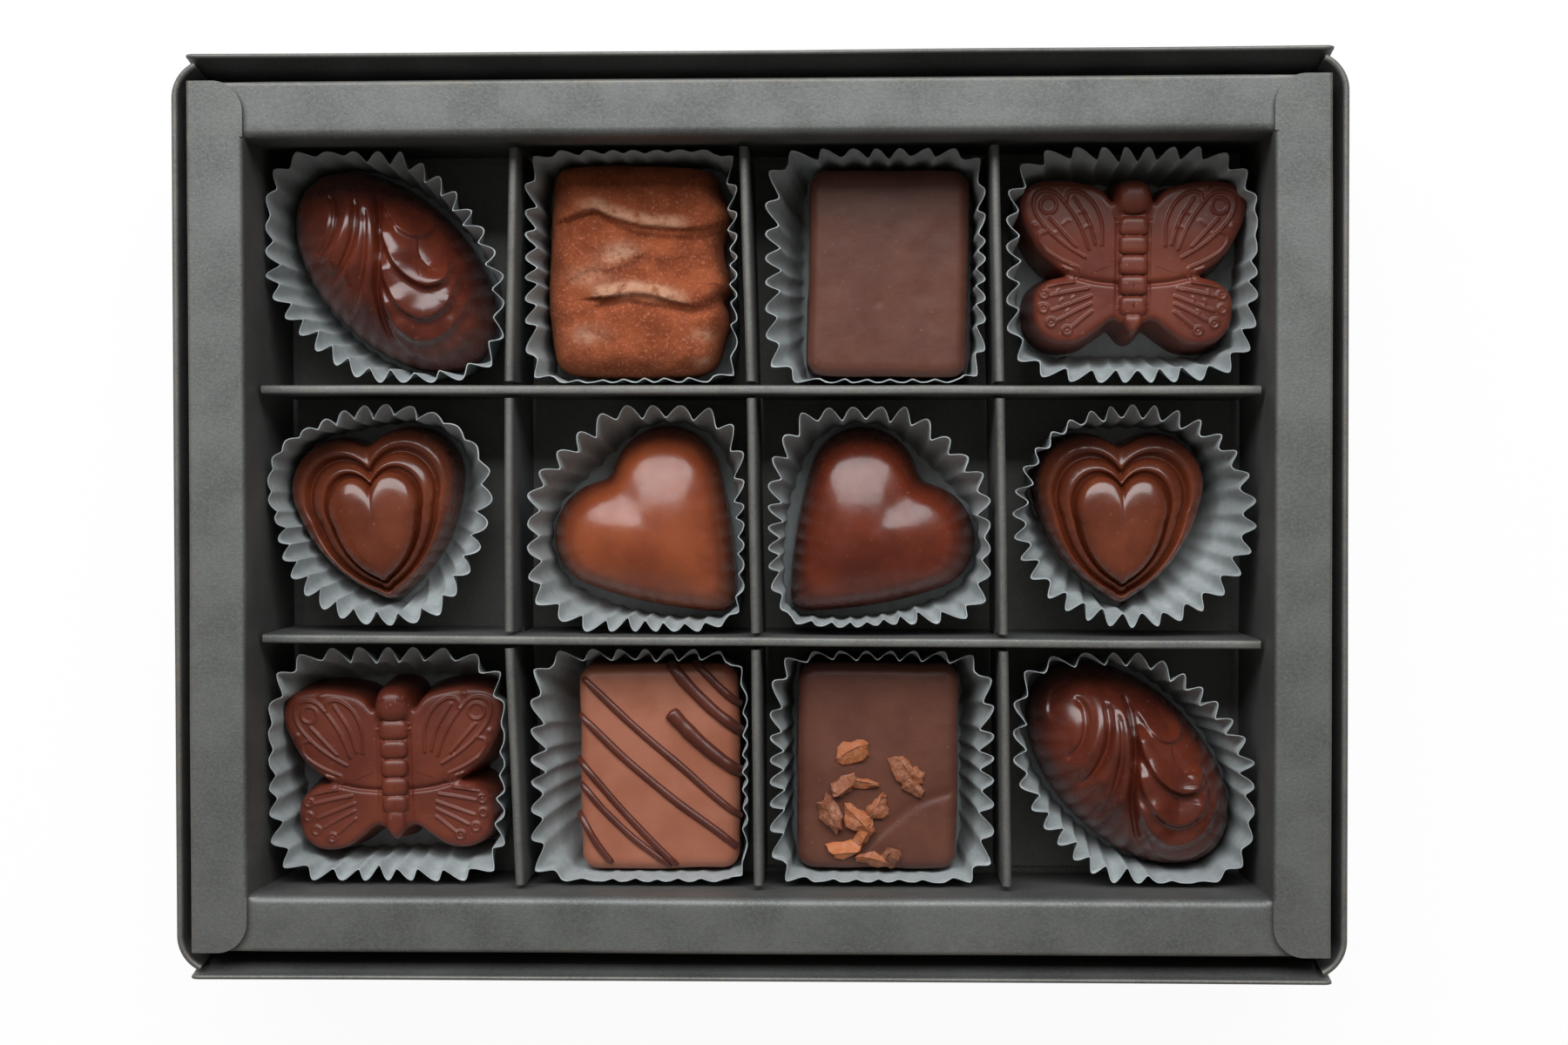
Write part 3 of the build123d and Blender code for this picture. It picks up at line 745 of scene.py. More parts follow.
@dataclass
class Tray(Box):
    """The inner tray: hollow walls whose long borders lie under the rounded tabs of the short ones."""

    seed: ClassVar[int] = 11
    length: float = 170.0
    width: float = 130.5
    base: float = 0.5
    top: float = 30.5
    card: float = 0.5
    border: float = 8.5
    lean: float = 1.1
    long_fold: float = 1.3
    short_fold: float = 0.8
    edge_fold: float = 0.6
    tab_radius: float = 4.6
    foot_gap: float = 0.3
    sink: float = 0.4
    waver: float = 0.1
    sag: float = 0.04
    edge_gap: float = 0.02

    def wall(self, out: float, top: float, radius: float, lean: float) -> tuple[Array, Array, Array]:
        """Cross-section of one hollow wall as places outside, level, top.

        Args:
            out: Distance of the outer face from the middle.
            top: Height of the border.
            radius: Radius of the inner fold.
            lean: How far the inner wall's foot stands back.

        Returns:
            Distances, heights and wear along the closed section.
        """
        c, e = self.card, self.edge_fold
        inner, low = out - self.border, self.base + self.card + self.foot_gap
        foot = inner + lean
        rows = [(out, self.base, 0.3), (out, top - e - 1.2, 0.0), (out, top - e - 0.3, 0.15)]
        rows += [(u, z, 0.4) for u, z in bend((out - e, top - e), e, 0, 90)]
        rows += [(out - e - 0.25, top, 0.1), (out - e - 0.8, top, 0.0), (inner + radius + 1.0, top, 0.0)]
        rows += [(u, z, 0.0) for u, z in bend((inner + radius, top - radius), radius, 90, 180, 9)]
        rows += [(inner, top - radius - 1.5, 0.0), (foot, low, 0.3), (foot + c, low, 0.3),
                 (inner + c, top - radius - 0.2, 0.0), (inner + radius, top - c, 0.0),
                 (out - c, top - c, 0.0), (out - c, self.base, 0.0)]
        return tuple(np.array(rows).T)

    def long_side(self, side: int, seed: int) -> tuple[Array, Array]:
        """The back or front wall: its section carried along X, its inner wall only between the short ones.

        Args:
            side: 1 for the back, -1 for the front.
            seed: Which unevenness.

        Returns:
            Rings and wear.
        """
        top = self.top - self.card
        u, z, worn = self.wall(self.width / 2, top, self.long_fold, self.lean)
        end, stop = self.length / 2, self.length / 2 - self.border + self.card
        middle = np.linspace(-stop, stop, 71)
        x = np.concatenate(([-end, -stop], middle, [stop, end]))[:, None]
        whole = np.concatenate(([False, False], np.ones(len(middle), bool), [False, False]))[:, None]
        low = top - self.long_fold
        inner = u < self.width / 2 - self.border + self.long_fold + 0.01
        z = np.where(whole, z, np.where(inner, np.maximum(z, low), z))
        y = u + self.waver * lattice_noise(x, z, 34.0, seed)
        z = z + self.sag * (lattice_noise(x, y, 27.0, seed + 1) - 1) * ramp(z, 5, 25)
        z = z - self.sink * ramp(np.abs(x), stop - 5, stop + 3) * ramp(z, 24, 29)
        y = np.minimum(y, self.width / 2)
        rings = np.stack([np.broadcast_to(x, y.shape), side * y, z], axis=-1)
        return rings, np.broadcast_to(worn, y.shape)

    def short_side(self, side: int, seed: int) -> tuple[Array, Array]:
        """The right or left wall, whose border runs over the long borders as two tabs with a round corner.

        A tab's inner edge stands at the opening, and near its end it follows a quarter circle outwards.

        Args:
            side: 1 for the right, -1 for the left.
            seed: Which unevenness.

        Returns:
            Rings and wear.
        """
        out, end, r = self.length / 2, self.width / 2, self.tab_radius
        u, z, worn = self.wall(out, self.top, self.short_fold, 0.0)
        inner = out - self.border
        stop = end - self.border + 0.15
        quarter = end - r + r * np.sin(np.linspace(0, math.pi / 2, 14))
        tab = np.concatenate((np.linspace(stop, end - r, 5)[:-1], quarter))
        y = np.concatenate((-tab[::-1], np.linspace(-stop, stop, 51), tab))[:, None]
        whole = np.zeros(y.shape, bool)
        whole[len(tab) : -len(tab)] = True
        past = np.clip(np.abs(y) - (end - r), 0, r)
        edge = inner + r - np.sqrt(np.maximum(r * r - past**2, 0))
        under = self.top - self.card
        upper, lower = np.arange(len(u)) < 20, z <= under + 1e-6
        near = u < inner + self.short_fold + 1.01
        cut_z = np.where(near & (lower | ~upper), under, np.where(near, self.top, z))
        cut_u = np.where(near, edge, np.maximum(u, edge + self.edge_gap))
        cut_u = np.where(u > out - self.card - 0.01, u, cut_u)
        flat_u, flat_z = np.where(whole, u, cut_u), np.where(whole, z, cut_z)
        depth = np.clip(self.top - flat_z, 0, None)
        spread = np.where(u < inner + 1.5, self.lean * depth / (self.top - self.base), 0.0)
        ys = y + np.sign(y) * np.where(whole & (np.abs(y) > stop - 3), spread, 0)
        flat_u = np.minimum(flat_u + self.waver * lattice_noise(ys, flat_z, 31.0, seed), out)
        worn = np.where(whole, worn, np.where(near, 0.1, worn))
        return np.stack([side * flat_u, ys, flat_z], axis=-1), worn

    def plan(self) -> tuple[Array, tuple[float, float]]:
        """The floor: a rectangle just inside the walls' faces."""
        half = np.array((self.length, self.width)) / 2 - self.edge_gap
        return half * ((-1, -1), (1, -1), (1, 1), (-1, 1)), (self.base, self.base + self.card)

    def build(self) -> None:
        """Builds the tray's card and dresses the loose card on its floor."""
        place_piece("tray_card", self.fold(), CARD, "tray", "tray")
        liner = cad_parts["floor_liner"]
        liner.data.materials.clear()
        liner.data.materials.append(LINER.material())


@dataclass
class Lid(Box):
    """The turned-over lid: a panel, two double walls that lean out and two whose ends curl in behind."""

    seed: ClassVar[int] = 31
    tray_length: float = 170.0
    tray_width: float = 130.5
    play: float = 0.8
    height: float = 29.5
    drop: float = 0.5
    card: float = 0.5
    long_wall: float = 1.6
    rim: float = 0.7
    short_wall: float = 1.0
    long_flare: float = 2.0
    short_flare: float = 1.0
    radius_rim: float = 6.0
    radius_foot: float = 2.2
    sweep: float = 65.0
    bite: float = 0.35
    ear: float = 2.4
    ear_round: float = 1.4
    waver: float = 0.06
    bow: float = 0.12

    def long_side(self, side: int, seed: int) -> tuple[Array, Array]:
        """A long double wall: a leaning section with a rounded rim, whose ends close in a small round ear.

        Args:
            side: 1 for the back, -1 for the front.
            seed: Which unevenness.

        Returns:
            Rings and wear.
        """
        inner = self.tray_width / 2 + self.play
        half = self.tray_length / 2 + self.play + self.short_wall + self.short_flare - self.ear
        near = 1.6 * (1 - np.cos(np.linspace(0, 1.5, 10)))
        x = np.concatenate((-half + near, np.linspace(-half + 4, half - 4, 61), half - near[::-1]))[:, None]
        r, top = self.rim / 2, self.height
        arc = np.radians(np.linspace(0, 180, 11))
        levels = np.concatenate(([0.0, 2.0, 10.0, 18.0], np.linspace(top - 6.0, top - r, 12)))
        flat = np.zeros(len(levels))
        share_out = np.concatenate((flat + 1, 0.5 + 0.5 * np.cos(arc), flat))
        z = np.concatenate((levels, top - r + r * np.sin(arc), levels[::-1]))
        worn = np.concatenate((flat, np.full(len(arc), 0.3), flat))
        end = np.clip((half - np.abs(x)) / self.ear_round, 0, 1)
        round_end = np.sqrt(1 - (1 - end) ** 2)
        full = self.rim + (self.long_wall - self.rim) * (1 - ramp(z, top - 5.5, top - r))
        thick = 0.4 + (full - 0.4) * round_end
        lean = self.long_flare * z / top
        out = inner + self.long_wall + lean - self.bow * np.sin(np.linspace(0, math.pi, len(x)))[:, None]
        y = out - (full - thick) / 2 - thick * (1 - share_out)
        y = y + self.waver * (lattice_noise(x, z, 30.0, seed) - 1.4) * ramp(z, 4, 20)
        high = z - 0.7 * (1 - round_end) * ramp(z, top - 3, top)
        rings = np.stack([np.broadcast_to(x, y.shape), side * y, high], axis=-1)
        return rings, np.broadcast_to(worn, y.shape)

    def short_side(self, side: int, seed: int) -> tuple[Array, Array]:
        """A short wall: straight in the middle, with ends on arcs whose radius grows from foot to rim.

        Args:
            side: 1 for the right, -1 for the left.
            seed: Which unevenness.

        Returns:
            Rings and wear.
        """
        top = self.height - self.drop
        t = self.short_wall
        arc = np.radians(np.linspace(0, 180, 9))
        levels = np.linspace(0, top - t / 2, 10)
        z = np.concatenate((levels, top - t / 2 + t / 2 * np.sin(arc), levels[::-1]))
        inward = np.concatenate((0 * levels, (0.5 - 0.5 * np.cos(arc)) * t, 0 * levels + t))
        worn = np.concatenate((np.zeros(8), [0.1, 0.3], np.full(len(arc), 0.5), [0.3, 0.1], np.zeros(8)))
        outer = self.tray_length / 2 + self.play + t + self.short_flare * z / self.height
        radius = self.radius_foot + (self.radius_rim - self.radius_foot) * z / self.height
        reach = self.tray_width / 2 + self.play + self.long_flare * z / self.height + self.bite
        sweep = math.radians(self.sweep)
        middle_y = reach - radius * math.sin(sweep)
        turns = sweep * np.linspace(1, 0, 15)
        straight = np.linspace(1, -1, 45)[1:-1]
        turn = np.concatenate((turns, 0 * straight, -turns[::-1]))[:, None]
        along = np.concatenate((0 * turns + 1, straight, 0 * turns - 1))[:, None]
        x = outer - radius + (radius - inward) * np.cos(turn)
        y = along * middle_y + (radius - inward) * np.sin(turn)
        x = x + self.waver * (lattice_noise(y, z, 30.0, seed) - 1) * ramp(z, 4, 20)
        return np.stack([side * x, y, np.broadcast_to(z, y.shape)], axis=-1), np.broadcast_to(worn, y.shape)

    def plan(self) -> tuple[Array, tuple[float, float]]:
        """The panel: a rectangle to the walls' outsides, with their corner radius at the foot.

        Returns:
            The outline, and the lower and upper heights.
        """
        half_x = self.tray_length / 2 + self.play + self.short_wall
        half_y = self.tray_width / 2 + self.play + self.long_wall
        r = self.radius_foot
        corner = np.array(bend((half_x - r, half_y - r), r, 0, 90))
        mirrored = (corner, (corner * (-1, 1))[::-1], -corner, (corner * (1, -1))[::-1])
        return np.concatenate(mirrored), (0.0, self.card)

    def build(self) -> None:
        """Builds the lid's card."""
        place_piece("lid_card", self.fold(), CARD, "lid", "lid")


class Slot(Enum):
    """Which side a strip's halving slots open to."""

    ABOVE = "above"
    BELOW = "below"


@dataclass
class DividerGrid:
    """Five strips of card folded double along their tops, halved into each other."""

    half_length: float = 76.5
    half_width: float = 56.75
    end_play: float = 0.6
    thick: float = 1.4
    fold: float = 0.66
    row_fold: float = 0.42
    row_tilt: float = 0.13
    base: float = 1.5
    height: float = 21.8
    column_slot: float = 2.6
    row_slot: float = 2.1
    top_play: float = 0.02
    sag: float = 0.05
    waver: float = 0.06
    stagger: float = 1e-4
    # Shares of the opening: a column's from the back wall over both rows to the front, a row's at its ends.
    column_shares: dict[str, tuple] = field(default_factory=lambda: {
        "left": (-0.2425, -0.2480, -0.2490, -0.2385),
        "middle": (-0.0135, -0.0070, -0.0025, -0.0005),
        "right": (0.2345, 0.2395, 0.2430, 0.2465)})
    row_shares: dict[str, tuple] = field(default_factory=lambda: {
        "back": (0.1725, 0.168), "front": (-0.163, -0.171)})

    def row_y(self, row: str, x: float | Array) -> float | Array:
        """Middle line of a row strip: straight from its left share to its right share."""
        left, right = self.row_shares[row]
        return 2 * self.half_width * (left + (right - left) * (x / self.half_length + 1) / 2)

    def column_x(self, column: str, y: float | Array) -> float | Array:
        """Middle line of a column strip: straight between its stations at the walls and the rows.

        Args:
            column: Which column.
            y: Where along it.

        Returns:
            Its offset there.
        """
        end = self.half_width - self.end_play
        stations = [-end, self.row_y("front", 0.0), self.row_y("back", 0.0), end]
        offsets = [share * 2 * self.half_length for share in self.column_shares[column][::-1]]
        return np.interp(y, stations, offsets)

    def strip(self, along: Array, middle: Array, slots: list[float], slot: float, side: Slot, seed: int
              ) -> tuple[Array, Array]:
        """A folded strip: a section with a round top fold, cut to half its height at each slot.

        Args:
            along: Stations along the strip.
            middle: Offset of its middle line at each station.
            slots: Where the slots are.
            slot: Width of a slot.
            side: Whether the slots open above or below.
            seed: Which unevenness.

        Returns:
            Rings as along, across and height, and wear.
        """
        top, half = self.base + self.height, self.base + self.height / 2
        edges = np.array([place + sign * slot / 2 for place in slots for sign in (-1, 1)])
        at = np.sort(np.concatenate((along, edges - self.stagger, edges + self.stagger)))
        offset = np.interp(at, along, middle)
        cut = np.zeros(len(at), bool)
        for place in slots:
            cut |= np.abs(at - place) < slot / 2
        column = side is Slot.ABOVE
        r, w, h = self.fold if column else self.row_fold, self.thick / 2, self.height
        arc = np.radians(np.linspace(0, 180, 13))
        fold = (w - r) * np.sign(np.cos(arc)) + r * np.cos(arc)
        across = np.concatenate(([w, w, w], fold, [-w, -w, -w, 0.0]))
        down = np.concatenate(([h, 12.0, 2.0], r - r * np.sin(arc), [2.0, 12.0, h, h]))
        down = down + self.top_play + (0.0 if column else self.row_tilt * (across + w) * (down < 3))
        limit = np.minimum if column else np.maximum
        x, z = at[:, None], top - down
        z = np.where(cut[:, None], limit(z, half), z)
        z = np.where(z > half + 1, z + self.sag * (lattice_noise(x, z, 19.0, seed) - 1), z)
        y = offset[:, None] + across + self.waver * lattice_noise(x, z, 14.0, seed + 1)
        worn = np.concatenate((np.zeros(3), 0.3 * np.sin(arc), np.zeros(4)))
        return np.stack([np.broadcast_to(x, y.shape), y, z], axis=-1), np.broadcast_to(worn, y.shape)

    def build(self) -> None:
        """Builds the three columns and the two rows."""
        end = self.half_width - self.end_play
        y = np.linspace(-end, end, 79)
        for number, column in enumerate(self.column_shares):
            crossings = [float(self.row_y(row, self.column_x(column, self.row_y(row, 0.0))))
                         for row in self.row_shares]
            rings, worn = self.strip(y, self.column_x(column, y), crossings, self.column_slot, Slot.ABOVE,
                                     50 + 3 * number)
            self.place(f"divider_column_{column}", "divider_columns", rings[..., (1, 0, 2)], worn)
        end = self.half_length - self.end_play
        x = np.linspace(-end, end, 99)
        for number, row in enumerate(self.row_shares):
            crossings = [float(self.column_x(column, self.row_y(row, 0.0))) for column in self.column_shares]
            rings, worn = self.strip(x, self.row_y(row, x), crossings, self.row_slot, Slot.BELOW,
                                     70 + 3 * number)
            self.place(f"divider_row_{row}", f"divider_row_{row}", rings, worn)

    @staticmethod
    def place(node: str, body: str, rings: Array, worn: Array) -> None:
        """Puts one strip in place.

        Args:
            node: Node that it stands for.
            body: Body that it moves with.
            rings: Its rings.
            worn: Their wear.
        """
        skin = Skin()
        skin.shell(rings, wear=worn)
        place_piece(f"{node}_card", skin.mesh(node, sharp=Box.sharp), CARD, body, node)


# Cups


@dataclass
class PaperCup:
    """A pleated cup: rounded pleats outwards, narrow valleys inwards, opening out from foot to rim.

    The foot's and rim's radii at the pleats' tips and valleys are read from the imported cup, and the wall
    between them is a cosine wave, sharpened or flattened by a power.
    """

    cell: str
    middle: tuple[float, float]
    pleats: int
    seed: int
    round_tips: float = 0.8
    calm: Places = ()
    depth: float = 0.5
    foot: float = 1.5
    rim: float = 19.5
    paper: float = 0.17
    floor: float = 1.5
    places_in_pleat: ClassVar[int] = 12
    wall_rings: ClassVar[int] = 21

    def measure(self) -> dict[str, Array]:
        """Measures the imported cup.

        Returns:
            Radii of its outer foot and rim at the folds, valleys and tips in turn, ordered by angle.
        """
        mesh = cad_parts[f"cup_{self.cell}"].data
        places = np.empty(3 * len(mesh.vertices), np.float32)
        mesh.vertices.foreach_get("co", places)
        places = places.reshape(-1, 3).astype(float) / MM
        away = places[:, :2] - self.middle
        radius = np.hypot(away[:, 0], away[:, 1])
        step = math.pi / self.pleats
        slot = np.rint(np.arctan2(away[:, 1], away[:, 0]) / step).astype(int) % (2 * self.pleats)
        found = {}
        for name, height in (("foot", self.foot), ("rim", self.rim)):
            level = np.abs(places[:, 2] - height) < 0.02
            best = np.zeros(2 * self.pleats)
            np.maximum.at(best, slot[level], radius[level])
            found[name] = best
        return found

    def rings(self) -> tuple[Array, Array]:
        """The wall's outer and inner skins and the paper floor as one stack of closed rings.

        Returns:
            Rings from the middle of the underside, out, up, over the rim, down and back in, and the crown.
        """
        found = self.measure()
        folds = 2 * self.pleats
        columns = self.places_in_pleat * self.pleats
        turn = np.linspace(0, 2 * math.pi, columns, endpoint=False)
        even = turn / (2 * math.pi) * folds
        rng = np.random.default_rng(self.seed)

        def around(values: Array, first: int = 0, step: int = 1) -> Array:
            """Values at every fold, or at every second one, carried evenly round the cup."""
            return np.interp(even, np.arange(first, folds, step), values[first::step], period=folds)

        tip_foot, valley_foot = around(found["foot"], 1, 2), around(found["foot"], 0, 2)
        tip_rim, valley_rim = around(found["rim"], 1, 2), around(found["rim"], 0, 2)
        # how far a fold is moved round the cup, how deep it is, and how high its rim stands
        spans = ((-0.22, 0.22), (0.72, 1.0), (-0.3, 0.25))
        shift, size, tilt = (around(rng.uniform(*span, folds)) for span in spans)
        phase = self.pleats * turn + 2 * shift
        wave = ((1 - np.cos(phase)) / 2) ** self.round_tips
        keep = np.ones(columns)
        for centre, half, share in self.calm:
            away = np.abs((np.degrees(turn) - centre + 180) % 360 - 180)
            keep *= 1 - (1 - share) * (1 - ramp(away, half * 0.7, half * 1.3))
        wave_rim = 1 - (1 - wave) * size * keep

        def radius(share: Array) -> Array:
            """Radius at height shares: a wall that opens fast at its foot, with folds that deepen above."""
            opening = (1 - (1 - share) ** 2.3)[:, None]
            grown = (0.2 * share + 0.8 * share**2.4)[:, None]
            foot = valley_foot - 0.3
            valley = foot + (valley_rim - self.depth - foot) * opening
            low, high = tip_foot - valley_foot, tip_rim - valley_rim + self.depth
            return valley + low * (1 - grown) * wave + high * grown * wave_rim

        def column(*values: float) -> Array:
            """Values as a column, one for each ring."""
            return np.array(values)[:, None]

        share = np.linspace(0, 1, self.wall_rings)
        outer, inside = radius(share), self.floor + 0.7 * self.paper
        height = self.foot + share[:, None] * (self.rim - self.foot + tilt)
        low = np.concatenate((column(0.35, 0.7, 0.93) * outer[0], outer[0] - column(0.55, 0.25, 0.08)))
        low_z = self.floor + column(0, 0, 0, 0, 0, 0.08) * np.ones(columns)
        back = column(0.97, 0.9, 0.6, 0.25) * (outer[0] - self.paper)
        back_z = inside + 0.09 * np.cos(phase / 2) ** 2 * column(0.6, 0.3, 0.0, 0.0)
        radii = np.concatenate((low, outer, outer[::-1] - self.paper, back))
        levels = np.concatenate((low_z, height, np.maximum(height[::-1], inside), back_z))
        x = self.middle[0] + radii * np.cos(turn)
        y = self.middle[1] + radii * np.sin(turn)
        return np.stack([x, y, levels], axis=-1), np.array([*self.middle, inside])

    def build(self) -> None:
        """Builds the cup."""
        skin = Skin()
        rings, crown = self.rings()
        skin.shell(rings, crown)
        name = f"cup_{self.cell}"
        place_piece(f"{name}_paper", skin.mesh(name, sharp=75), PAPER, name, name)


# Chocolates


@dataclass
class Praline:
    """One chocolate: rings drawn from its mould's outline to its crown.

    A ring is the focus plus a share of (outline, less an inset along its normal, less the focus), at a
    height; the rows of share, inset and height are joined by a smooth curve. Lengthways the share is
    raised to a power. Rings change to the upper outline and to the core one over spans of 1 less their
    share. A larger crowd puts more of the rings on the top.
    """

    cell: str
    node: str
    middle: tuple[float, float]
    turn: float
    finish: Finish
    base: float = 1.75
    columns: int = 360
    rows: int = 110
    height: float = 14.0
    lengthways: float = 1.0
    crowd: float = 6.0
    # share of the outline and of the height, from the foot to the crown
    shares: ClassVar[Places] = ()
    least_share: ClassVar[float] = 0.004
    upper_span: ClassVar[tuple[float, float]] = (0.02, 0.25)
    core_span: ClassVar[tuple[float, float]] = (0.12, 0.42)

    def outline(self) -> Array:
        """The widest plan, closed and counterclockwise; each kind has its own."""
        raise NotImplementedError

    def upper_outline(self) -> Array:
        """The plan of the upper rings; the widest one, unless a kind has its own."""
        return self.outline()

    def core_outline(self) -> Array:
        """The plan of the rings near the crown; the upper one, unless a kind has its own."""
        return self.upper_outline()

    def levels(self) -> Places:
        """Rows of share, inset and height from the foot to the crown, here without insets."""
        return [(share, 0.0, self.height * level) for share, level in self.shares]

    def focus(self) -> tuple[float, float]:
        """Where the rings close."""
        return (0.0, 0.0)

    def sculpt(self, x: Array, y: Array, z: Array) -> tuple[Array, Array, Array, Array]:
        """Relief, unevenness and wear, in the chocolate's own frame."""
        return x, y, z, np.zeros(x.shape)

    def placed(self, x: Array, y: Array, z: Array) -> Array:
        """Places of the chocolate's own frame in the box's frame."""
        x, y = turned(x, y, self.turn)
        return np.stack([self.middle[0] + x, self.middle[1] + y, z + self.base], axis=-1)

    def rings(self) -> tuple[Array, Array, Array]:
        """The chocolate's rings in place.

        Returns:
            Rings, crown point and wear.
        """
        plan = self.outline()
        normal = outward(plan)
        rows = smooth_curve([(self.crowd * share, inset, height) for share, inset, height in self.levels()],
                            self.rows)
        share, inset, height = rows[:, 0] / self.crowd, rows[:, 1], rows[:, 2]
        keep = share > self.least_share
        share, inset, height = share[keep], inset[keep], height[keep]
        focus = np.array(self.focus())
        upper, core = (ramp(1 - share, *span)[:, None, None] for span in (self.upper_span, self.core_span))
        mixed = plan + upper * (self.upper_outline() - plan)
        mixed = mixed + core * (self.core_outline() - mixed)
        scale = np.stack([share, share**self.lengthways], axis=1)[:, None]
        flat = focus + scale * (mixed - inset[:, None, None] * normal - focus)
        x, y = flat[..., 0], flat[..., 1]
        z = np.broadcast_to(height[:, None], x.shape).copy()
        x, y, z, worn = self.sculpt(x, y, z)
        z = np.maximum(z, 0)
        z[0] = 0
        placed = self.placed(x, y, z)
        return placed, placed[-1].mean(0), worn

    def build(self) -> None:
        """Builds the chocolate."""
        skin = Skin()
        placed, crown, worn = self.rings()
        skin.shell(placed, crown, worn)
        place_piece(f"{self.node}_praline", skin.mesh(self.node, sharp=80), self.finish,
                    f"chocolate_{self.cell}", self.node)


@dataclass
class Oval(Praline):
    """A tall oval swirl: an S groove along it, crescents to its left and nested lobes to its right."""

    half_width: float = 11.8
    half_length: float = 19.4
    height: float = 16.5
    rows: int = 185
    columns: int = 440
    crowd: float = 24.0
    # a low skirt that widens, then a dome
    shares: ClassVar[Places] = (
        (0.95, 0.0), (0.99, 0.10), (1.0, 0.16), (0.965, 0.42), (0.85, 0.66), (0.63, 0.85), (0.42, 0.95),
        (0.2, 0.99), (0.0, 1.0))

    def outline(self) -> Array:
        """An ellipse, evenly stepped.

        Returns:
            The closed outline.
        """
        turn = np.linspace(0, 2 * math.pi, 4 * self.columns + 1)
        run = np.stack([self.half_width * np.cos(turn), self.half_length * np.sin(turn)], axis=1)
        return even_steps(run, self.columns, True)

    def lines(self) -> list[Line]:
        """The swirl's crests, grooves and stepped lobes, about the chocolate's middle in the box's frame.

        Returns:
            The lines.
        """
        crest = [Line(path, 0.8, 1.15, 1.15, taper=0.2) for path in (
            ((-8.2, 13.8), (-6, 11.5), (-5.4, 8.4), (-6, 4.9), (-8, 1.3), (-10.2, -1.2)),
            ((-5.3, 13.3), (-3.4, 10.7), (-2.8, 7.1), (-3.3, 2.6), (-5.3, -1.4), (-7.5, -3.6)),
            ((-3.3, 12.9), (-2, 9.8), (-1.5, 5.3), (-1.7, 0), (-2.6, -4.5), (-4, -8.1)))]
        groove = [Line(path, -1.3 * depth, 0.5, 0.5, taper=0.12) for depth, path in (
            (0.75, ((-2.2, 12.9), (-0.8, 9.3), (-0.2, 5.3), (-0.2, 0.9), (-0.6, -3.6), (-0.1, -8),
                    (1.2, -12.5))),
            (0.5, ((-9.3, 11.5), (-7.9, 9.8), (-7.6, 7.1), (-8.4, 4), (-10.7, 1.3))),
            (0.5, ((-4.6, 11.1), (-4.1, 7.5), (-4.6, 3.5), (-6.6, -0.5), (-8.9, -2.7))),
            (0.4, ((-2.9, 9.8), (-2.3, 6.2), (-2.6, 0.5), (-4, -4.6), (-6.2, -8.0))))]
        bulb = ((-8.5, 14.2), (-11.1, 14), (-13.2, 12), (-13.8, 9.3), (-13.5, 6.9))
        petal = ((-0.4, 10.9), (2.3, 6.6), (4.6, 4.9), (6.6, 5.2), (7.3, 7.0), (6.2, 9.2))
        single = [Line(bulb, 0.8, 0.7, 1.5, taper=0.2), Line(petal, 0.8, 2.2, 0.5, taper=0.15)]
        lobes = [Line(path, 1.75 * rise, 2.9, 0.6, taper=0.14) for rise, path in (
            (0.85, ((0.1, 7.5), (1.2, 3.1), (3.6, -0.9), (6.8, -2.9), (9.5, -2.2), (10.1, 0), (9.2, 1.8))),
            (0.75, ((0.1, 2.2), (1.2, -2.7), (3.7, -6.7), (6.8, -8), (9.9, -6.2), (11, -2.7), (10.8, 0.4))),
            (0.7, ((0.1, -3.6), (1.9, -8.5), (5, -11.4), (9, -10.7), (12.1, -7.1), (12.8, -3.1))),
            (0.6, ((0.7, -8), (3.2, -12.5), (7.2, -14.3), (11.3, -12.5), (13.9, -8))))]
        return crest + groove + single + lobes

    def sculpt(self, x: Array, y: Array, z: Array) -> tuple[Array, Array, Array, Array]:
        """Adds the swirl above the skirt, read in the box's frame."""
        rise = relief(self.lines(), *turned(x, y, self.turn)) * ramp(z, 3.5, 8.0)
        return x, y, z + rise, np.zeros(x.shape)


def heart_outline(width: float, length: float, columns: int, reach: float, notch: float = 0.385,
                  belly: float = 0.325, waist: float = 0.13) -> Array:
    """A heart with its tip towards -Y: five arcs through named shares of its width and length, rounded.

    Args:
        width: Across the lobes.
        length: From lobes to tip.
        columns: How many places.
        reach: Width of the rounding.
        notch: Height of the cleft, as a share of the length.
        belly: How far out the flanks stand, as a share of the width.
        waist: Height of the widest places, as a share of the length.

    Returns:
        The closed outline, counterclockwise.
    """
    cleft, lobe, flank = (0.0, notch), (0.265, 0.465), (belly, -0.23)
    side, tip_side, tip = (0.5, waist), (0.05, -0.505), (0.0, -0.535)

    def at(share: tuple, sign: int = 1) -> tuple[float, float]:
        """A share as a place."""
        return (sign * share[0] * width, share[1] * length)

    arcs = (arc_through(at(cleft), at(lobe, -1), at(side, -1)),
            arc_through(at(side, -1), at(flank, -1), at(tip_side, -1)),
            arc_through(at(tip_side, -1), at(tip), at(tip_side)),
            arc_through(at(tip_side), at(flank), at(side)),
            arc_through(at(side), at(lobe), at(cleft)))
    return soften(even_steps(np.concatenate(arcs), columns, True), reach)


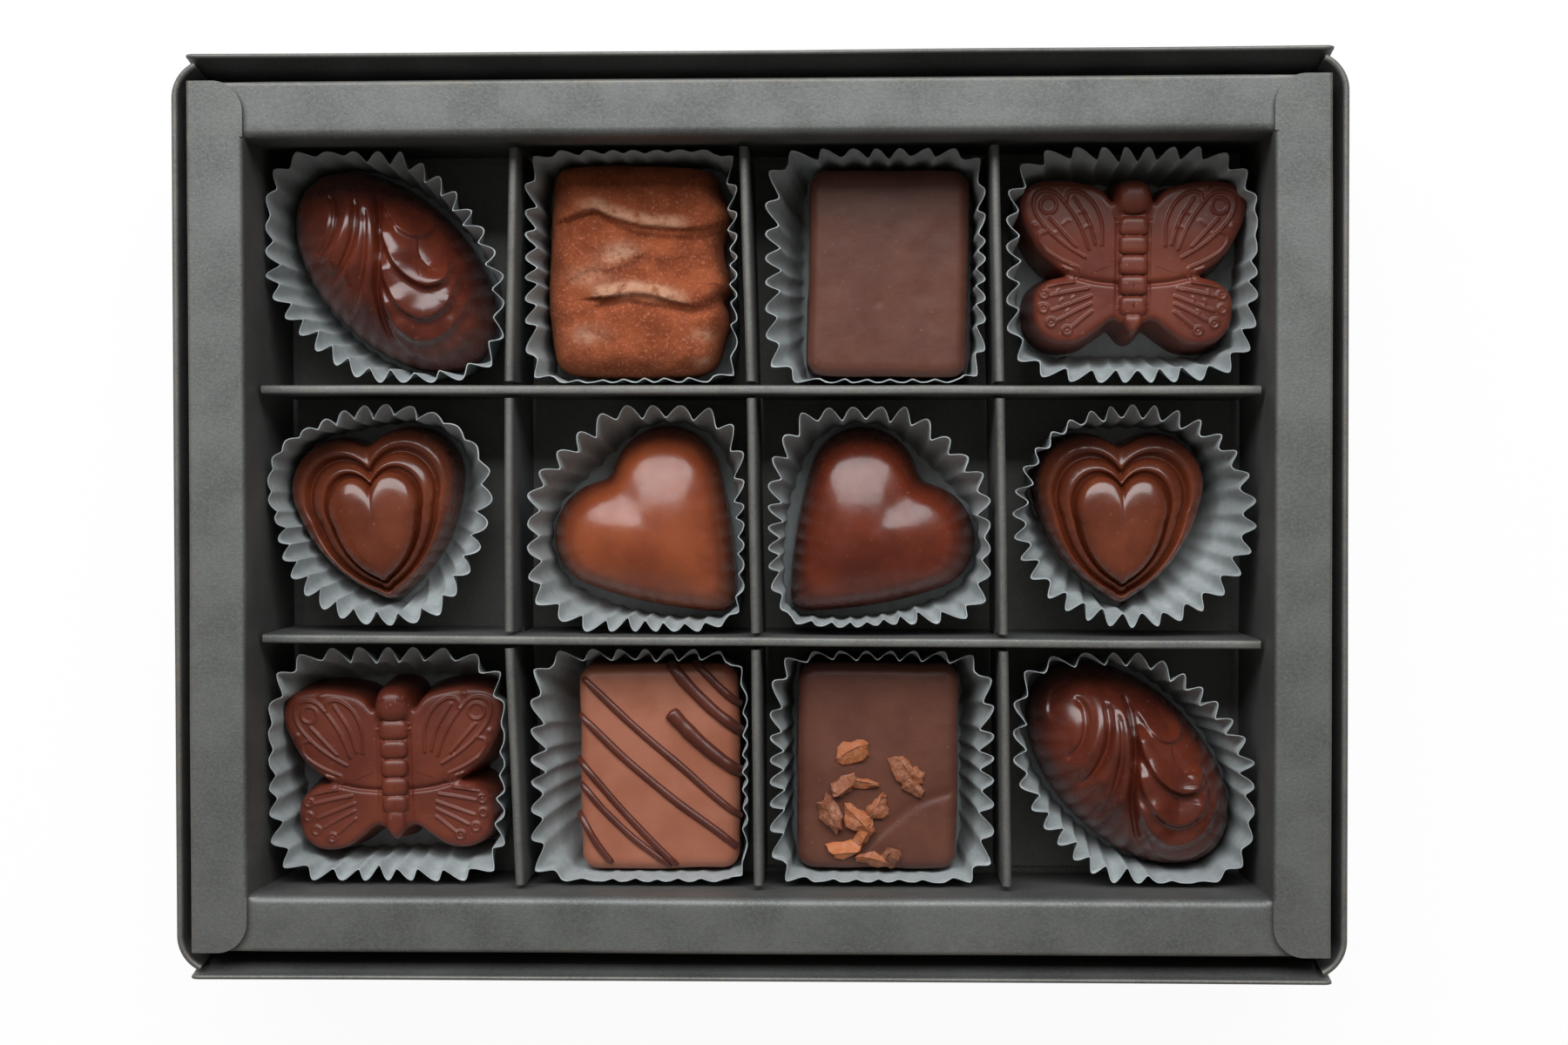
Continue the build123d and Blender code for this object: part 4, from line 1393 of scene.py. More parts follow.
@dataclass
class SmoothHeart(Praline):
    """A plain domed heart with a soft skirt."""

    width: float = 30.5
    length: float = 31.0
    height: float = 15.0
    columns: int = 280
    rows: int = 80
    # a slightly tucked foot, full sides, a shoulder of about 20 degrees and a nearly level middle
    shares: ClassVar[Places] = (
        (0.965, 0.0), (1.0, 0.12), (0.985, 0.3), (0.95, 0.45), (0.89, 0.62), (0.83, 0.72), (0.75, 0.80),
        (0.55, 0.89), (0.35, 0.955), (0.2, 0.985), (0.0, 1.0))

    def outline(self) -> Array:
        """A rounded heart."""
        return heart_outline(self.width, self.length, self.columns, 1.5, belly=0.285)

    def upper_outline(self) -> Array:
        """A heart with a rounder cleft, which the dome's shoulder follows."""
        return heart_outline(self.width, self.length, self.columns, 2.3, 0.365, 0.28)

    def core_outline(self) -> Array:
        """A heart with a wide soft cleft, so that no crease runs over the top."""
        return heart_outline(self.width, self.length, self.columns, 4.0, 0.335, 0.28)

    def focus(self) -> tuple[float, float]:
        """A little below the middle."""
        return (0.0, -0.03 * self.length)


@dataclass
class RidgedHeart(Praline):
    """A heart with a skirt, two nested round ridges and a raised inner heart."""

    width: float = 26.41
    length: float = 27.2
    columns: int = 360
    rows: int = 230
    lengthways: float = 0.68
    crowd: float = 30.0
    # skirt, round shoulder, valley, ridge, valley, and the inner heart's step and gentle dome
    shares: ClassVar[Places] = (
        (0.965, 0.0), (1.0, 0.10), (0.99, 0.30), (0.975, 0.46), (0.958, 0.58), (0.94, 0.64), (0.915, 0.672),
        (0.875, 0.698), (0.835, 0.719), (0.795, 0.73), (0.762, 0.716), (0.735, 0.678), (0.715, 0.645),
        (0.70, 0.638), (0.687, 0.66), (0.67, 0.695), (0.65, 0.718), (0.615, 0.743), (0.58, 0.76),
        (0.555, 0.752), (0.533, 0.715), (0.519, 0.695), (0.508, 0.725), (0.496, 0.80), (0.48, 0.86),
        (0.455, 0.90), (0.41, 0.93), (0.33, 0.96), (0.2, 0.986), (0.0, 1.0))

    def outline(self) -> Array:
        """A rounded heart."""
        return heart_outline(self.width, self.length, self.columns, 0.9, 0.385, 0.36, 0.08)

    def upper_outline(self) -> Array:
        """A heart with a crisp cleft, which the nested ridges follow."""
        return heart_outline(self.width, self.length, self.columns, 0.35, 0.335, 0.39, 0.035)

    def focus(self) -> tuple[float, float]:
        """Near the tip, so that the nested hearts crowd there."""
        return (0.0, -0.21 * self.length)


def rounded_rectangle(width: float, length: float, radius: float, columns: int) -> Array:
    """A rectangle with quarter-circle corners, evenly stepped and counterclockwise.

    Args:
        width: Along X.
        length: Along Y.
        radius: Of the corners.
        columns: How many places.

    Returns:
        The closed outline.
    """
    x, y = width / 2 - radius, length / 2 - radius
    run = bend((x, y), radius, 0, 90) + bend((-x, y), radius, 90, 180)
    run += bend((-x, -y), radius, 180, 270) + bend((x, -y), radius, 270, 360)
    return even_steps(np.array(run + run[:1]), columns, True)


@dataclass
class Slab(Praline):
    """An enrobed slab: upright sides, a rounded edge and a gently uneven top."""

    width: float = 25.2
    length: float = 32.4
    height: float = 13.0
    edge: float = 2.0
    corner: float = 2.6
    seed: int = 5
    dimples: tuple[tuple[float, float, float, float], ...] = ()
    crease: Places = ()
    rows: int = 90
    columns: int = 360

    def outline(self) -> Array:
        """A rounded rectangle that wavers by up to a sixth of a millimetre.

        Returns:
            The closed outline.
        """
        plan = rounded_rectangle(self.width - 0.3, self.length - 0.3, self.corner, self.columns)
        waver = lattice_noise(plan[:, 0], plan[:, 1], 6.0, self.seed)
        return plan + 0.16 * waver[:, None] * outward(plan)

    def levels(self) -> Places:
        """Side, quarter-round edge and flat top.

        Returns:
            Rows of share, inset and height.
        """
        h, r = self.height, self.edge
        side = [(1.0, 0.1, 0.0), (1.0, -0.12, 0.6), (1.0, 0.0, 2.0), (1.0, 0.0, h / 2),
                (1.0, 0.02, h - r - 1)]
        edge = [(1.0, r - r * math.cos(a), h - r + r * math.sin(a)) for a in np.radians((10, 35, 60, 80))]
        return side + edge + [(0.97, r, h), (0.6, r, h + 0.06), (0.3, r, h + 0.1), (0.0, r, h + 0.12)]

    def sculpt(self, x: Array, y: Array, z: Array) -> tuple[Array, Array, Array, Array]:
        """Waves of the coating, dimples and a crease on the top, and drips round the foot.

        Args:
            x: Places across, in the chocolate's own frame.
            y: Places along it.
            z: Heights above its foot.

        Returns:
            The moved places, and no wear.
        """
        top = ramp(z, self.height - self.edge, self.height)
        for step, (high, grain) in enumerate(((0.07, 7.0), (0.03, 3.0)), start=1):
            z = z + top * high * lattice_noise(x, y, grain, self.seed + step)
        for *at, wide, deep in self.dimples:
            z = z - top * deep * bell(x, y, at, wide)
        if self.crease:
            z = z + top * relief([Line(self.crease, -0.28, 1.0, 0.5)], x, y)
        foot = 1 - ramp(z, 0.4, 3.5)
        out = 1 + 0.014 * foot * (1 + lattice_noise(x, y, 5.0, self.seed + 3))
        return x * out, y * out, z, np.zeros(x.shape)


@dataclass
class Truffle(Praline):
    """A cocoa-dusted block whose coating has slumped into cross folds."""

    rows: int = 150
    columns: int = 420
    # path, height, width of the flank to its left and to its right
    crests: ClassVar[tuple[tuple, ...]] = (
        (((-10.7, 8.1), (-6.8, 9.5), (-3.2, 8.1), (1.2, 6.9), (6.1, 6.5), (10.6, 6.7), (14.2, 8.0)),
         1.0, 2.4, 0.45),
        (((-5.2, -4.2), (-1.2, -3.7), (2.4, -3.9), (6.2, -5.0), (9.0, -5.3), (11.6, -4.2), (14.6, -2.6)),
         1.0, 2.6, 0.4),
        (((-9.4, -1.0), (-7.3, 0.3), (-4.1, 0.2), (-0.4, 1.6)), 0.4, 2.0, 0.6),
        (((-7.0, 4.0), (-3.5, 3.2), (0.5, 2.4), (6.0, 1.8)), 0.3, 1.8, 0.8))
    grooves: ClassVar[tuple[tuple, ...]] = (
        (((-10.7, 7.1), (-6.8, 8.5), (-3.4, 6.7), (0.6, 5.0), (5.6, 4.6), (10.1, 4.7), (14, 6.0)),
         -0.55, 0.5, 0.9),
        (((-5.2, -5.5), (-1.5, -5.3), (1.7, -5.8), (5.7, -6.3), (8.5, -6.8), (11.2, -5.8), (14.7, -3.8)),
         -0.6, 0.5, 0.9))
    # height, grain and random table of the powder's lumps; place and half length of each rubbed patch
    lumps: ClassVar[tuple[tuple[float, float, int], ...]] = (
        (0.28, 5.5, 91), (0.14, 2.2, 92), (0.07, 0.9, 93))
    patches: ClassVar[Places] = (
        (-2.2, 2.8, 2.4), (-7.3, -1.2, 2.6), (-1.5, -3.2, 2.0), (-7.6, -10.2, 2.4), (10.2, -10.3, 1.6),
        (10.5, -14.4, 1.4), (-4.0, 2.0, 2.0), (3.0, -3.6, 1.8))

    def outline(self) -> Array:
        """An uneven rounded block, bulging where its folds come over the right side.

        Returns:
            The closed outline.
        """
        plan = ((-13.2, 15.3), (-13.9, 10.0), (-14.1, 3.8), (-14.4, -5.4), (-13.7, -12.0), (-12.4, -15.2),
                (-8.5, -16.4), (0.3, -16.7), (7.7, -16.4), (11.6, -14.9), (13.2, -11.0), (14.2, -7.4),
                (13.4, -4.4), (14.4, -2.4), (13.3, 2.5), (13.5, 5.3), (14.5, 8.6), (13.0, 12.2), (11.6, 15.4),
                (7.0, 16.6), (-0.6, 16.9), (-9.9, 16.8))
        return soften(smooth_curve(plan, self.columns, True), 0.35)

    def levels(self) -> Places:
        """Full sides and a heavily rounded edge.

        Returns:
            Rows of share, inset and height.
        """
        return [(1.0, 0.5, 0.0), (1.0, 0.05, 1.2), (1.0, 0.0, 5.0), (1.0, 0.2, 8.6), (1.0, 0.8, 11.2),
                (1.0, 1.9, 12.8), (1.0, 3.3, 13.6), (0.9, 3.9, 13.85), (0.5, 3.9, 13.9), (0.2, 3.9, 13.9),
                (0.0, 3.9, 13.9)]

    def sculpt(self, x: Array, y: Array, z: Array) -> tuple[Array, Array, Array, Array]:
        """Overlapping folds: a crest with a soft upper flank and a sharp lower one, and powdery lumps.

        Args:
            x: Places across, in the chocolate's own frame.
            y: Places along it.
            z: Heights above its foot.

        Returns:
            The moved places, and wear where the powder is rubbed off.
        """
        high = ramp(z, 8.0, 13.0)
        crest = relief([Line(*line) for line in self.crests], x, y)
        groove = relief([Line(*line) for line in self.grooves], x, y)
        lumps = sum(size * lattice_noise(x, y, grain, seed) for size, grain, seed in self.lumps)
        z = z + high * (crest + groove + lumps)
        spread = 1 + 0.008 * lattice_noise(x + z, y, 3.0, 94) * ramp(z, 1.0, 3.0)
        pale = 0.9 * ramp(crest, 0.45, 0.95) * ramp(-np.abs(x + 0.5), -10, -6)
        pale = pale + sum(0.75 * bell(x, y, at, wide, 0.6) for *at, wide in self.patches)
        return x * spread, y * spread, z, np.clip(pale * high, 0, 1)


@dataclass
class Butterfly(Praline):
    """A butterfly: drafted sides, level wings with raised veins, a beaded body and a round head."""

    height: float = 12.4
    draft: float = 1.2
    rich: bool = True
    columns: int = 640
    rows: int = 144
    crowd: float = 70.0

    half: ClassVar[Places] = (
        (0, 13), (1.9, 12.5), (2.75, 11), (3.2, 9.4), (5.2, 11.5), (8.6, 12.5), (12.2, 12.8), (15.6, 12.2),
        (17.3, 10), (17.05, 7.3), (15.8, 4.4), (14.2, 1.7), (11.9, -0.4), (10.1, -1.9), (12.7, -2.7),
        (14.8, -4.4), (15.3, -7), (14.6, -10.2), (12, -12.1), (8.4, -12), (5.5, -10.2), (3.2, -8.6),
        (1.6, -9.2), (0, -10.9))
    veins: ClassVar[tuple[Places, ...]] = (
        ((7.5, 0.9), (10.4, 2.7), (13.1, 5), (15, 7.4), (15.5, 9.6), (14.6, 11), (12.4, 11), (10.6, 9.3),
         (8.4, 6), (6.9, 2.2)),
        ((4.9, 2.8), (5, 6.4), (6.3, 9.4), (8.5, 11.1), (10.2, 10.9), (10.5, 9.6)),
        ((8.5, -0.7), (11.4, 0.6), (14, 2.5), (14.5, 4.4), (13.3, 4.9)),
        ((5.9, 3), (7, 6.6), (9.2, 10.2)), ((9, 2.6), (11, 4.8), (13, 7)),
        ((8.1, -1.6), (9.6, -1.1), (11, -0.6)), ((9.2, -2.9), (11.2, -3.2), (13.3, -3.6)),
        ((6.9, -3.9), (9.8, -4.4), (12.6, -5)),
        ((6.5, -5.1), (9.4, -6.2), (12.4, -7.3)), ((6.5, -6.3), (9, -7.5), (11.4, -8.8)),
        ((6.4, -7.5), (7.8, -8.6), (9.2, -9.8)))
    arcs: ClassVar[tuple[Places, ...]] = (
        ((7.1, 7.6), (7.9, 8), (8.9, 7.6)), ((6.2, 5.4), (7, 5.8), (7.8, 5.2)),
        ((9.5, 6.6), (10.4, 6.5), (11.2, 5.6)), ((11.6, 4.9), (12.3, 4.6), (12.6, 3.9)),
        ((8.9, -4.9), (9.4, -5.5), (9.0, -6.1)),
        ((10.6, -5.3), (11.2, -5.9), (10.8, -6.6)), ((9.6, -7.0), (10.2, -7.5), (9.8, -8.1)),
        ((11.2, -3.9), (11.7, -4.4), (11.3, -5.0)))
    cell_groove: ClassVar[Places] = ((2.4, -3.2), (6, -2.8), (10.1, -1.8))
    neck_groove: ClassVar[Places] = ((2.6, 7), (2.9, 8.2), (3.1, 9.6))
    vein: ClassVar[float] = 0.3
    rings_at: ClassVar[tuple[tuple[float, float, float], ...]] = (
        (13.2, 9.0, 1.25), (13.7, -4.8, 0.62), (13.8, -7, 0.62), (12.6, -9.2, 0.62), (10.1, -10.4, 0.62))
    dots: ClassVar[tuple[tuple[float, float], ...]] = ((11.3, 11.9), (15.2, 5.8))
    # place along the body, half length, half width
    rich_beads: ClassVar[tuple[tuple[float, float, float], ...]] = (
        (5.75, 1.2, 2.15), (2.85, 1.2, 2.1), (-0.25, 1.25, 2.1), (-3.4, 1.25, 2.05), (-6.55, 1.2, 2.0),
        (-9.6, 1.4, 1.4))
    plain_beads: ClassVar[tuple[tuple[float, float, float], ...]] = (
        (6.35, 1.35, 2.2), (3.3, 1.25, 2.05), (0.35, 1.25, 2.0), (-2.55, 1.25, 1.95), (-5.3, 1.2, 1.85),
        (-8.4, 2.0, 1.5))

    def outline(self) -> Array:
        """The wings' outline: the right half and its mirror image, smoothed.

        Returns:
            The closed outline.
        """
        right = np.array(self.half)[::-1]
        left = np.array(self.half)[1:-1] * (-1, 1)
        return soften(smooth_curve(np.concatenate((right, left)), self.columns, True), 0.3)

    def focus(self) -> tuple[float, float]:
        """The middle of the body, from which the whole outline is in view."""
        return (0.0, 0.9)

    def levels(self) -> Places:
        """Drafted sides, a small rounded edge and the level top.

        Returns:
            Rows of share, inset and height.
        """
        h = self.height
        side = [(1.0, -self.draft, 0.0), (1.0, -self.draft * 0.55, h * 0.45), (1.0, -0.12, h - 1.0)]
        edge = [(1.0, 0.08, h - 0.45), (1.0, 0.38, h - 0.12)]
        return side + edge + [(share, 0.9, h) for share in (0.985, 0.75, 0.5, 0.25, 0.0)]

    def lines(self) -> list[Line]:
        """The right wing's veins, rings and grooves; the plain kind has no arcs between its veins.

        Returns:
            The lines.
        """
        lines = [Line(path, self.vein, 0.21, 0.21) for path in self.veins]
        lines += [Line(self.half[4:13], -0.12, 0.9, 0.9), Line(self.cell_groove, -0.5, 0.5, 0.35),
                  Line(self.neck_groove, -0.25, 0.35, 0.35)]
        lines += [Line(path, 0.4 * self.vein, 0.22, 0.22, taper=0.3) for path in self.arcs if self.rich]
        return lines + [Line(bend((at_x, at_y), radius, 0, 360, 15)[:-1], self.vein, 0.2, 0.2, closed=True)
                        for at_x, at_y, radius in self.rings_at]

    def body(self, u: Array, y: Array) -> Array:
        """Height of the beads and the round head above the wings.

        Each is the upper half of a rounded block: the root of one less two powers of the distances.

        Args:
            u: Distances from the middle line.
            y: Places along it.

        Returns:
            The heights, nothing on the wings.
        """
        beads, square = (self.rich_beads, 4.2) if self.rich else (self.plain_beads, 3.2)
        body = np.zeros(u.shape)
        for at_y, long, wide in beads:
            reach = np.abs((y - at_y) / (long * 1.3)) ** square + np.abs(u / (wide * 1.08)) ** square
            body = np.maximum(body, 1.05 * np.sqrt(np.clip(1 - reach, 0, None)))
        head = 1 - (u / 2.75) ** 2.4 - np.abs((y - 10.2) / 2.7) ** 2.4
        return np.maximum(body, 1.7 * np.sqrt(np.clip(head, 0, None)))

    def sculpt(self, x: Array, y: Array, z: Array) -> tuple[Array, Array, Array, Array]:
        """Wings with veins and dots, mirrored by the distance from the middle line, and the body with eyes.

        Args:
            x: Places across, in the chocolate's own frame.
            y: Places along it.
            z: Heights above its foot.

        Returns:
            The moved places, and no wear.
        """
        u = np.abs(x)
        top = ramp(z, self.height - 1.0, self.height - 0.1)
        wings = relief(self.lines(), u, y) + 0.35 * bell(u, y, (9.5, 5), 6, 5 / 6)
        wings = wings + sum(0.3 * bell(u, y, at, 0.45) for at in self.dots)
        wings = wings + sum(0.22 * bell(u, y, at, 0.25) for *at, _ in self.rings_at[1:])
        seam = np.exp(-(((u - 2.45) / 0.35) ** 2)) * ramp(y, -10.5, -8.5) * (1 - ramp(y, 7.0, 9.0))
        eyes = 0.22 * np.exp(-(((np.hypot(u - 1.65, y - 11.6) - 0.42) / 0.2) ** 2))
        body = self.body(u, y)
        rise = np.where(body > 0.02, np.maximum(body - 0.12, 0), wings - 0.3 * seam) + eyes
        return x, y, z + top * rise, np.zeros(x.shape)


# Toppings


@dataclass
class Drizzle:
    """Piped lines of chocolate across a slab: round beads that follow its top and run over its edges."""

    slab: Slab
    # both ends as shares of the slab's width and length, and the width
    lines: ClassVar[tuple[tuple[float, float, float, float, float], ...]] = (
        (-0.461, 0.421, 0.520, -0.233, 1.25), (-0.484, 0.246, 0.466, -0.382, 1.3),
        (-0.495, 0.040, 0.093, -0.468, 1.15), (-0.485, -0.086, 0.049, -0.476, 1.1),
        (-0.500, -0.229, -0.313, -0.452, 1.15), (0.085, 0.488, 0.505, 0.173, 1.9),
        (0.235, 0.497, 0.500, 0.306, 1.3))
    steps: ClassVar[int] = 26
    rings: ClassVar[int] = 90
    sides: ClassVar[int] = 14
    tail_steps: ClassVar[int] = 5

    def surface(self, x: Array, y: Array) -> Array:
        """Height of the slab over a place: its flat top, less the quarter round near its outline.

        Args:
            x: Places across the slab.
            y: Places along it.

        Returns:
            The heights.
        """
        s = self.slab
        gap_x, gap_y = s.width / 2 - np.abs(x), s.length / 2 - np.abs(y)
        inset = np.clip(np.minimum(gap_x, gap_y), 0, s.edge)
        return s.height - s.edge + np.sqrt(np.maximum(s.edge**2 - (s.edge - inset) ** 2, 0))

    def tail(self, end: Array, fall: float) -> Array:
        """Where a line runs down the side that its end is nearest to, a little outwards and by a fall.

        Args:
            end: The line's last place.
            fall: How far it runs down.

        Returns:
            The tail's places.
        """
        across = abs(end[0]) / self.slab.width > abs(end[1]) / self.slab.length
        out = np.sign(end[:2]) * (across, not across)
        drop = np.linspace(0.25, 1, self.tail_steps)[:, None]
        return np.column_stack((end[:2] + 0.25 * out * np.sqrt(drop), end[2] - fall * drop))

    def bead(self, plan: Array, width: Array, skin: Skin, falls: tuple[float, float]) -> None:
        """Adds one bead: a flattened circle carried along a path on the slab's surface.

        Args:
            plan: Places of the middle line.
            width: Width at each place.
            skin: Takes the bead.
            falls: How far each end runs down the side.
        """
        path = np.column_stack((plan, self.surface(plan[:, 0], plan[:, 1]) + 0.12 * width))
        for fall in falls:
            path, width = path[::-1], width[::-1]
            if fall > 0:
                path = np.concatenate((path, self.tail(path[-1], fall)))
                width = np.concatenate((width, width[-1] * np.linspace(0.95, 0.7, self.tail_steps)))
        count = self.rings
        line = smooth_curve(path, count)
        along = np.gradient(line, axis=0)
        along /= np.linalg.norm(along, axis=1, keepdims=True)
        side = np.cross(along, (0.0, 0.0, 1.0))
        side /= np.maximum(np.linalg.norm(side, axis=1, keepdims=True), 1e-6)
        up = np.cross(side, along)
        number = np.arange(count)
        to_end = np.clip(1 - np.minimum(number, number[::-1]) / 3.0, 0, None)
        ends = np.sqrt(np.clip(1 - to_end**2, 0.02, 1))
        ends = ends * (1 + 0.06 * lattice_noise(number * 0.4, np.full(count, plan[0, 0]), 3.0, 44))
        spread = np.interp(np.linspace(0, 1, count), np.linspace(0, 1, len(width)), width)
        turn = np.linspace(0, 2 * math.pi, self.sides, endpoint=False)[:, None]
        ring = np.cos(turn) * side[:, None] + 0.82 * np.sin(turn) * up[:, None]
        bead = line[:, None] + (0.5 * spread * ends)[:, None, None] * ring
        skin.shell(self.slab.placed(*np.moveaxis(bead, -1, 0)))

    def build(self) -> None:
        """Builds all the lines as one piece."""
        skin = Skin()
        size = np.array([self.slab.width, self.slab.length])
        share = np.linspace(0, 1, self.steps)[:, None]
        arch = np.sin(math.pi * share)
        for number, (*places, wide) in enumerate(self.lines):
            start, end = np.clip(np.reshape(places, (2, 2)) * size, 0.1 - size / 2, size / 2 - 0.1)
            step, long = end - start, np.linalg.norm(end - start)
            away = np.array([-step[1], step[0]]) / long
            noise = lattice_noise(20 * share, np.full(share.shape, 7.0 * number), 6.0, 41)
            wander = 0.22 * noise - 0.5 * arch
            plan = start + step * share + away * wander * min(1.0, long / 20)
            self.bead(plan, np.full(self.steps, wide), skin, (2.2, 1.6))
        start, end = np.array((0.068, 0.272)) * size, np.array((0.495, -0.025)) * size
        plan = start + (end - start) * share + np.array((0.5, 0.85)) * (-0.55 * arch)
        self.bead(plan, 2.5 - 0.5 * share[:, 0], skin, (0.0, 2.0))
        node = "drizzle_lines"
        place_piece(f"{node}_piped", skin.mesh(node), PIPED, f"chocolate_{self.slab.cell}", node)


@dataclass
class Nibs:
    """Broken cacao nibs: jagged flakes with ragged edges and a crooked crest, lying on a slab."""

    slab: Slab
    # share across, share along, length, width, turn, height, tone
    chips: ClassVar[tuple[tuple[float, float, float, float, float, float, float], ...]] = (
        (-0.159, 0.068, 4.8, 3.8, 30, 1.3, 0.75), (0.145, -0.010, 5.4, 3.0, -55, 1.2, 0.35),
        (0.200, -0.085, 4.6, 2.4, -50, 1.1, 0.3), (0.225, -0.035, 3.2, 2.4, -30, 0.9, 0.45),
        (-0.215, -0.095, 4.4, 3.2, 35, 1.6, 0.3), (-0.095, -0.080, 4.6, 1.9, -8, 1.2, 0.6),
        (-0.292, -0.230, 6.0, 3.2, -60, 1.9, 0.25), (-0.127, -0.252, 5.2, 3.6, -45, 1.6, 0.65),
        (-0.085, -0.310, 4.2, 2.6, 60, 1.3, 0.7), (0.000, -0.205, 3.4, 3.0, 40, 1.2, 0.45),
        (0.022, -0.168, 2.4, 1.6, 65, 1.0, 0.5), (-0.202, -0.396, 5.4, 2.7, 5, 1.2, 1.0),
        (-0.020, -0.445, 4.6, 2.6, -12, 1.3, 0.55), (0.075, -0.440, 3.0, 3.0, 60, 1.5, 0.2))
    # shares of length, width and height of a chip's rings, from below
    profile: ClassVar[tuple[tuple[float, float, float], ...]] = (
        (0.8, 1.0, -0.1), (1.0, 1.0, 0.12), (0.95, 0.92, 0.5), (0.82, 0.5, 0.8), (0.66, 0.08, 0.95))
    corners: ClassVar[int] = 15

    def build(self) -> None:
        """Builds all the chips as one piece, each a stack of ragged rings with its own tone."""
        skin = Skin()
        size = np.array([self.slab.width, self.slab.length])
        turn = np.linspace(0, 2 * math.pi, self.corners, endpoint=False)
        lengths, narrow, levels = np.array(self.profile).T[..., None]
        form = (len(self.profile), self.corners)
        for number, (u, v, long, wide, angle, high, tone) in enumerate(self.chips):
            rng = np.random.default_rng(300 + number)
            jag = 1 + 0.24 * rng.uniform(-1, 1, self.corners)
            shares = lengths * (1 + 0.06 * rng.uniform(-1, 1, form)) * jag
            heights = high * levels * (1 + 0.1 * rng.uniform(-1, 1, form))
            x = 0.56 * long * shares * np.cos(turn)
            y = 0.5 * wide * (shares * narrow * np.sin(turn) + 0.5 * (1 - narrow) * rng.uniform(-1, 1))
            heights = heights + 0.22 * high * np.sin(x / long * 5 + number) * ramp(heights, 0.2, 0.8)
            x, y = turned(x, y, angle + self.slab.turn)
            x, y = x + size[0] * u, y + size[1] * v
            drop = 0.8 * ramp(-y, self.slab.length / 2 - 2.2, self.slab.length / 2)
            z = self.slab.base + self.slab.height + 0.1 + heights - drop
            rings = np.stack([self.slab.middle[0] + x, self.slab.middle[1] + y, z], axis=-1)
            skin.shell(rings, rings[-1].mean(0), np.full(form, tone))
        place_piece("cacao_nibs_broken", skin.mesh("cacao_nibs", flat=True), NIB,
                    f"chocolate_{self.slab.cell}", "cacao_nibs")


# The twelve cells


@dataclass
class Assortment:
    """Twelve chocolates, each in its cup."""

    middles: dict[str, tuple[float, float]] = field(default_factory=lambda: {
        "a1": (-58.599, 38.987), "a2": (-19.125, 38.420), "a3": (20.043, 37.796), "a4": (57.834, 39.044),
        "b1": (-60.894, 0.908), "b2": (-16.065, -2.951), "b3": (16.524, -3.178), "b4": (56.304, 0.454),
        "c1": (-57.528, -39.839), "c2": (-15.836, -39.214), "c3": (18.207, -39.044), "c4": (57.987, -39.441)})

    # pleats and power of each cup's wave, in the cells' order
    folds: ClassVar[dict[str, tuple[int, float]]] = {
        "a1": (30, 0.75), "a2": (34, 0.85), "a3": (32, 0.85), "a4": (32, 0.8),
        "b1": (30, 0.5), "b2": (30, 0.7), "b3": (32, 0.7), "b4": (31, 1.1),
        "c1": (30, 0.8), "c2": (32, 0.85), "c3": (32, 0.8), "c4": (30, 0.75)}
    # sectors with low folds: direction in degrees, half width and what is left of the folds
    calm: ClassVar[dict[str, Places]] = {"b1": ((38.0, 18.0, 0.45),)}
    first_seed: ClassVar[int] = 101

    def build(self) -> None:
        """Builds cups, chocolates and toppings."""
        for seed, (cell, (pleats, power)) in enumerate(self.folds.items(), start=self.first_seed):
            PaperCup(cell, self.middles[cell], pleats, seed, power, self.calm.get(cell, ())).build()
        at = self.middles
        dimples = ((4.6, -3.0, 2.2, 0.14), (7.8, 6.5, 1.6, 0.1), (6.5, -7.5, 1.4, 0.08),
                   (-1.5, -4.6, 0.6, 0.12))
        crease = ((-3.5, -15.0), (-0.5, -11.5), (3.2, -8.2), (6.8, -5.6), (11.0, -4.2))
        drizzled = Slab("c2", "drizzled_slab_c2", at["c2"], 0.5, MILK_SATIN, seed=61)
        strewn = Slab("c3", "nib_slab_c3", at["c3"], -0.5, ENROBED, seed=71, crease=crease)
        pralines: list[Praline] = [
            Oval("a1", "oval_a1", at["a1"], 44.5, OVAL), Truffle("a2", "truffle_a2", at["a2"], 0.0, COCOA),
            Slab("a3", "plain_slab_a3", at["a3"], -0.8, ENROBED, seed=51, dimples=dimples),
            Butterfly("a4", "butterfly_a4", at["a4"], -0.5, SATIN),
            RidgedHeart("b1", "ridged_heart_b1", at["b1"], 9.0, DARK),
            SmoothHeart("b2", "smooth_heart_b2", at["b2"], 43.0, MILK_GLOSS),
            SmoothHeart("b3", "smooth_heart_b3", at["b3"], -45.0, DARK_RED),
            RidgedHeart("b4", "ridged_heart_b4", at["b4"], 0.0, DARK),
            Butterfly("c1", "butterfly_c1", at["c1"], 1.5, SATIN, rich=False), drizzled, strewn,
            Oval("c4", "oval_c4", at["c4"], 44.5, OVAL)]
        for praline in pralines:
            praline.build()
        Drizzle(drizzled).build()
        Nibs(strewn).build()


# Studio


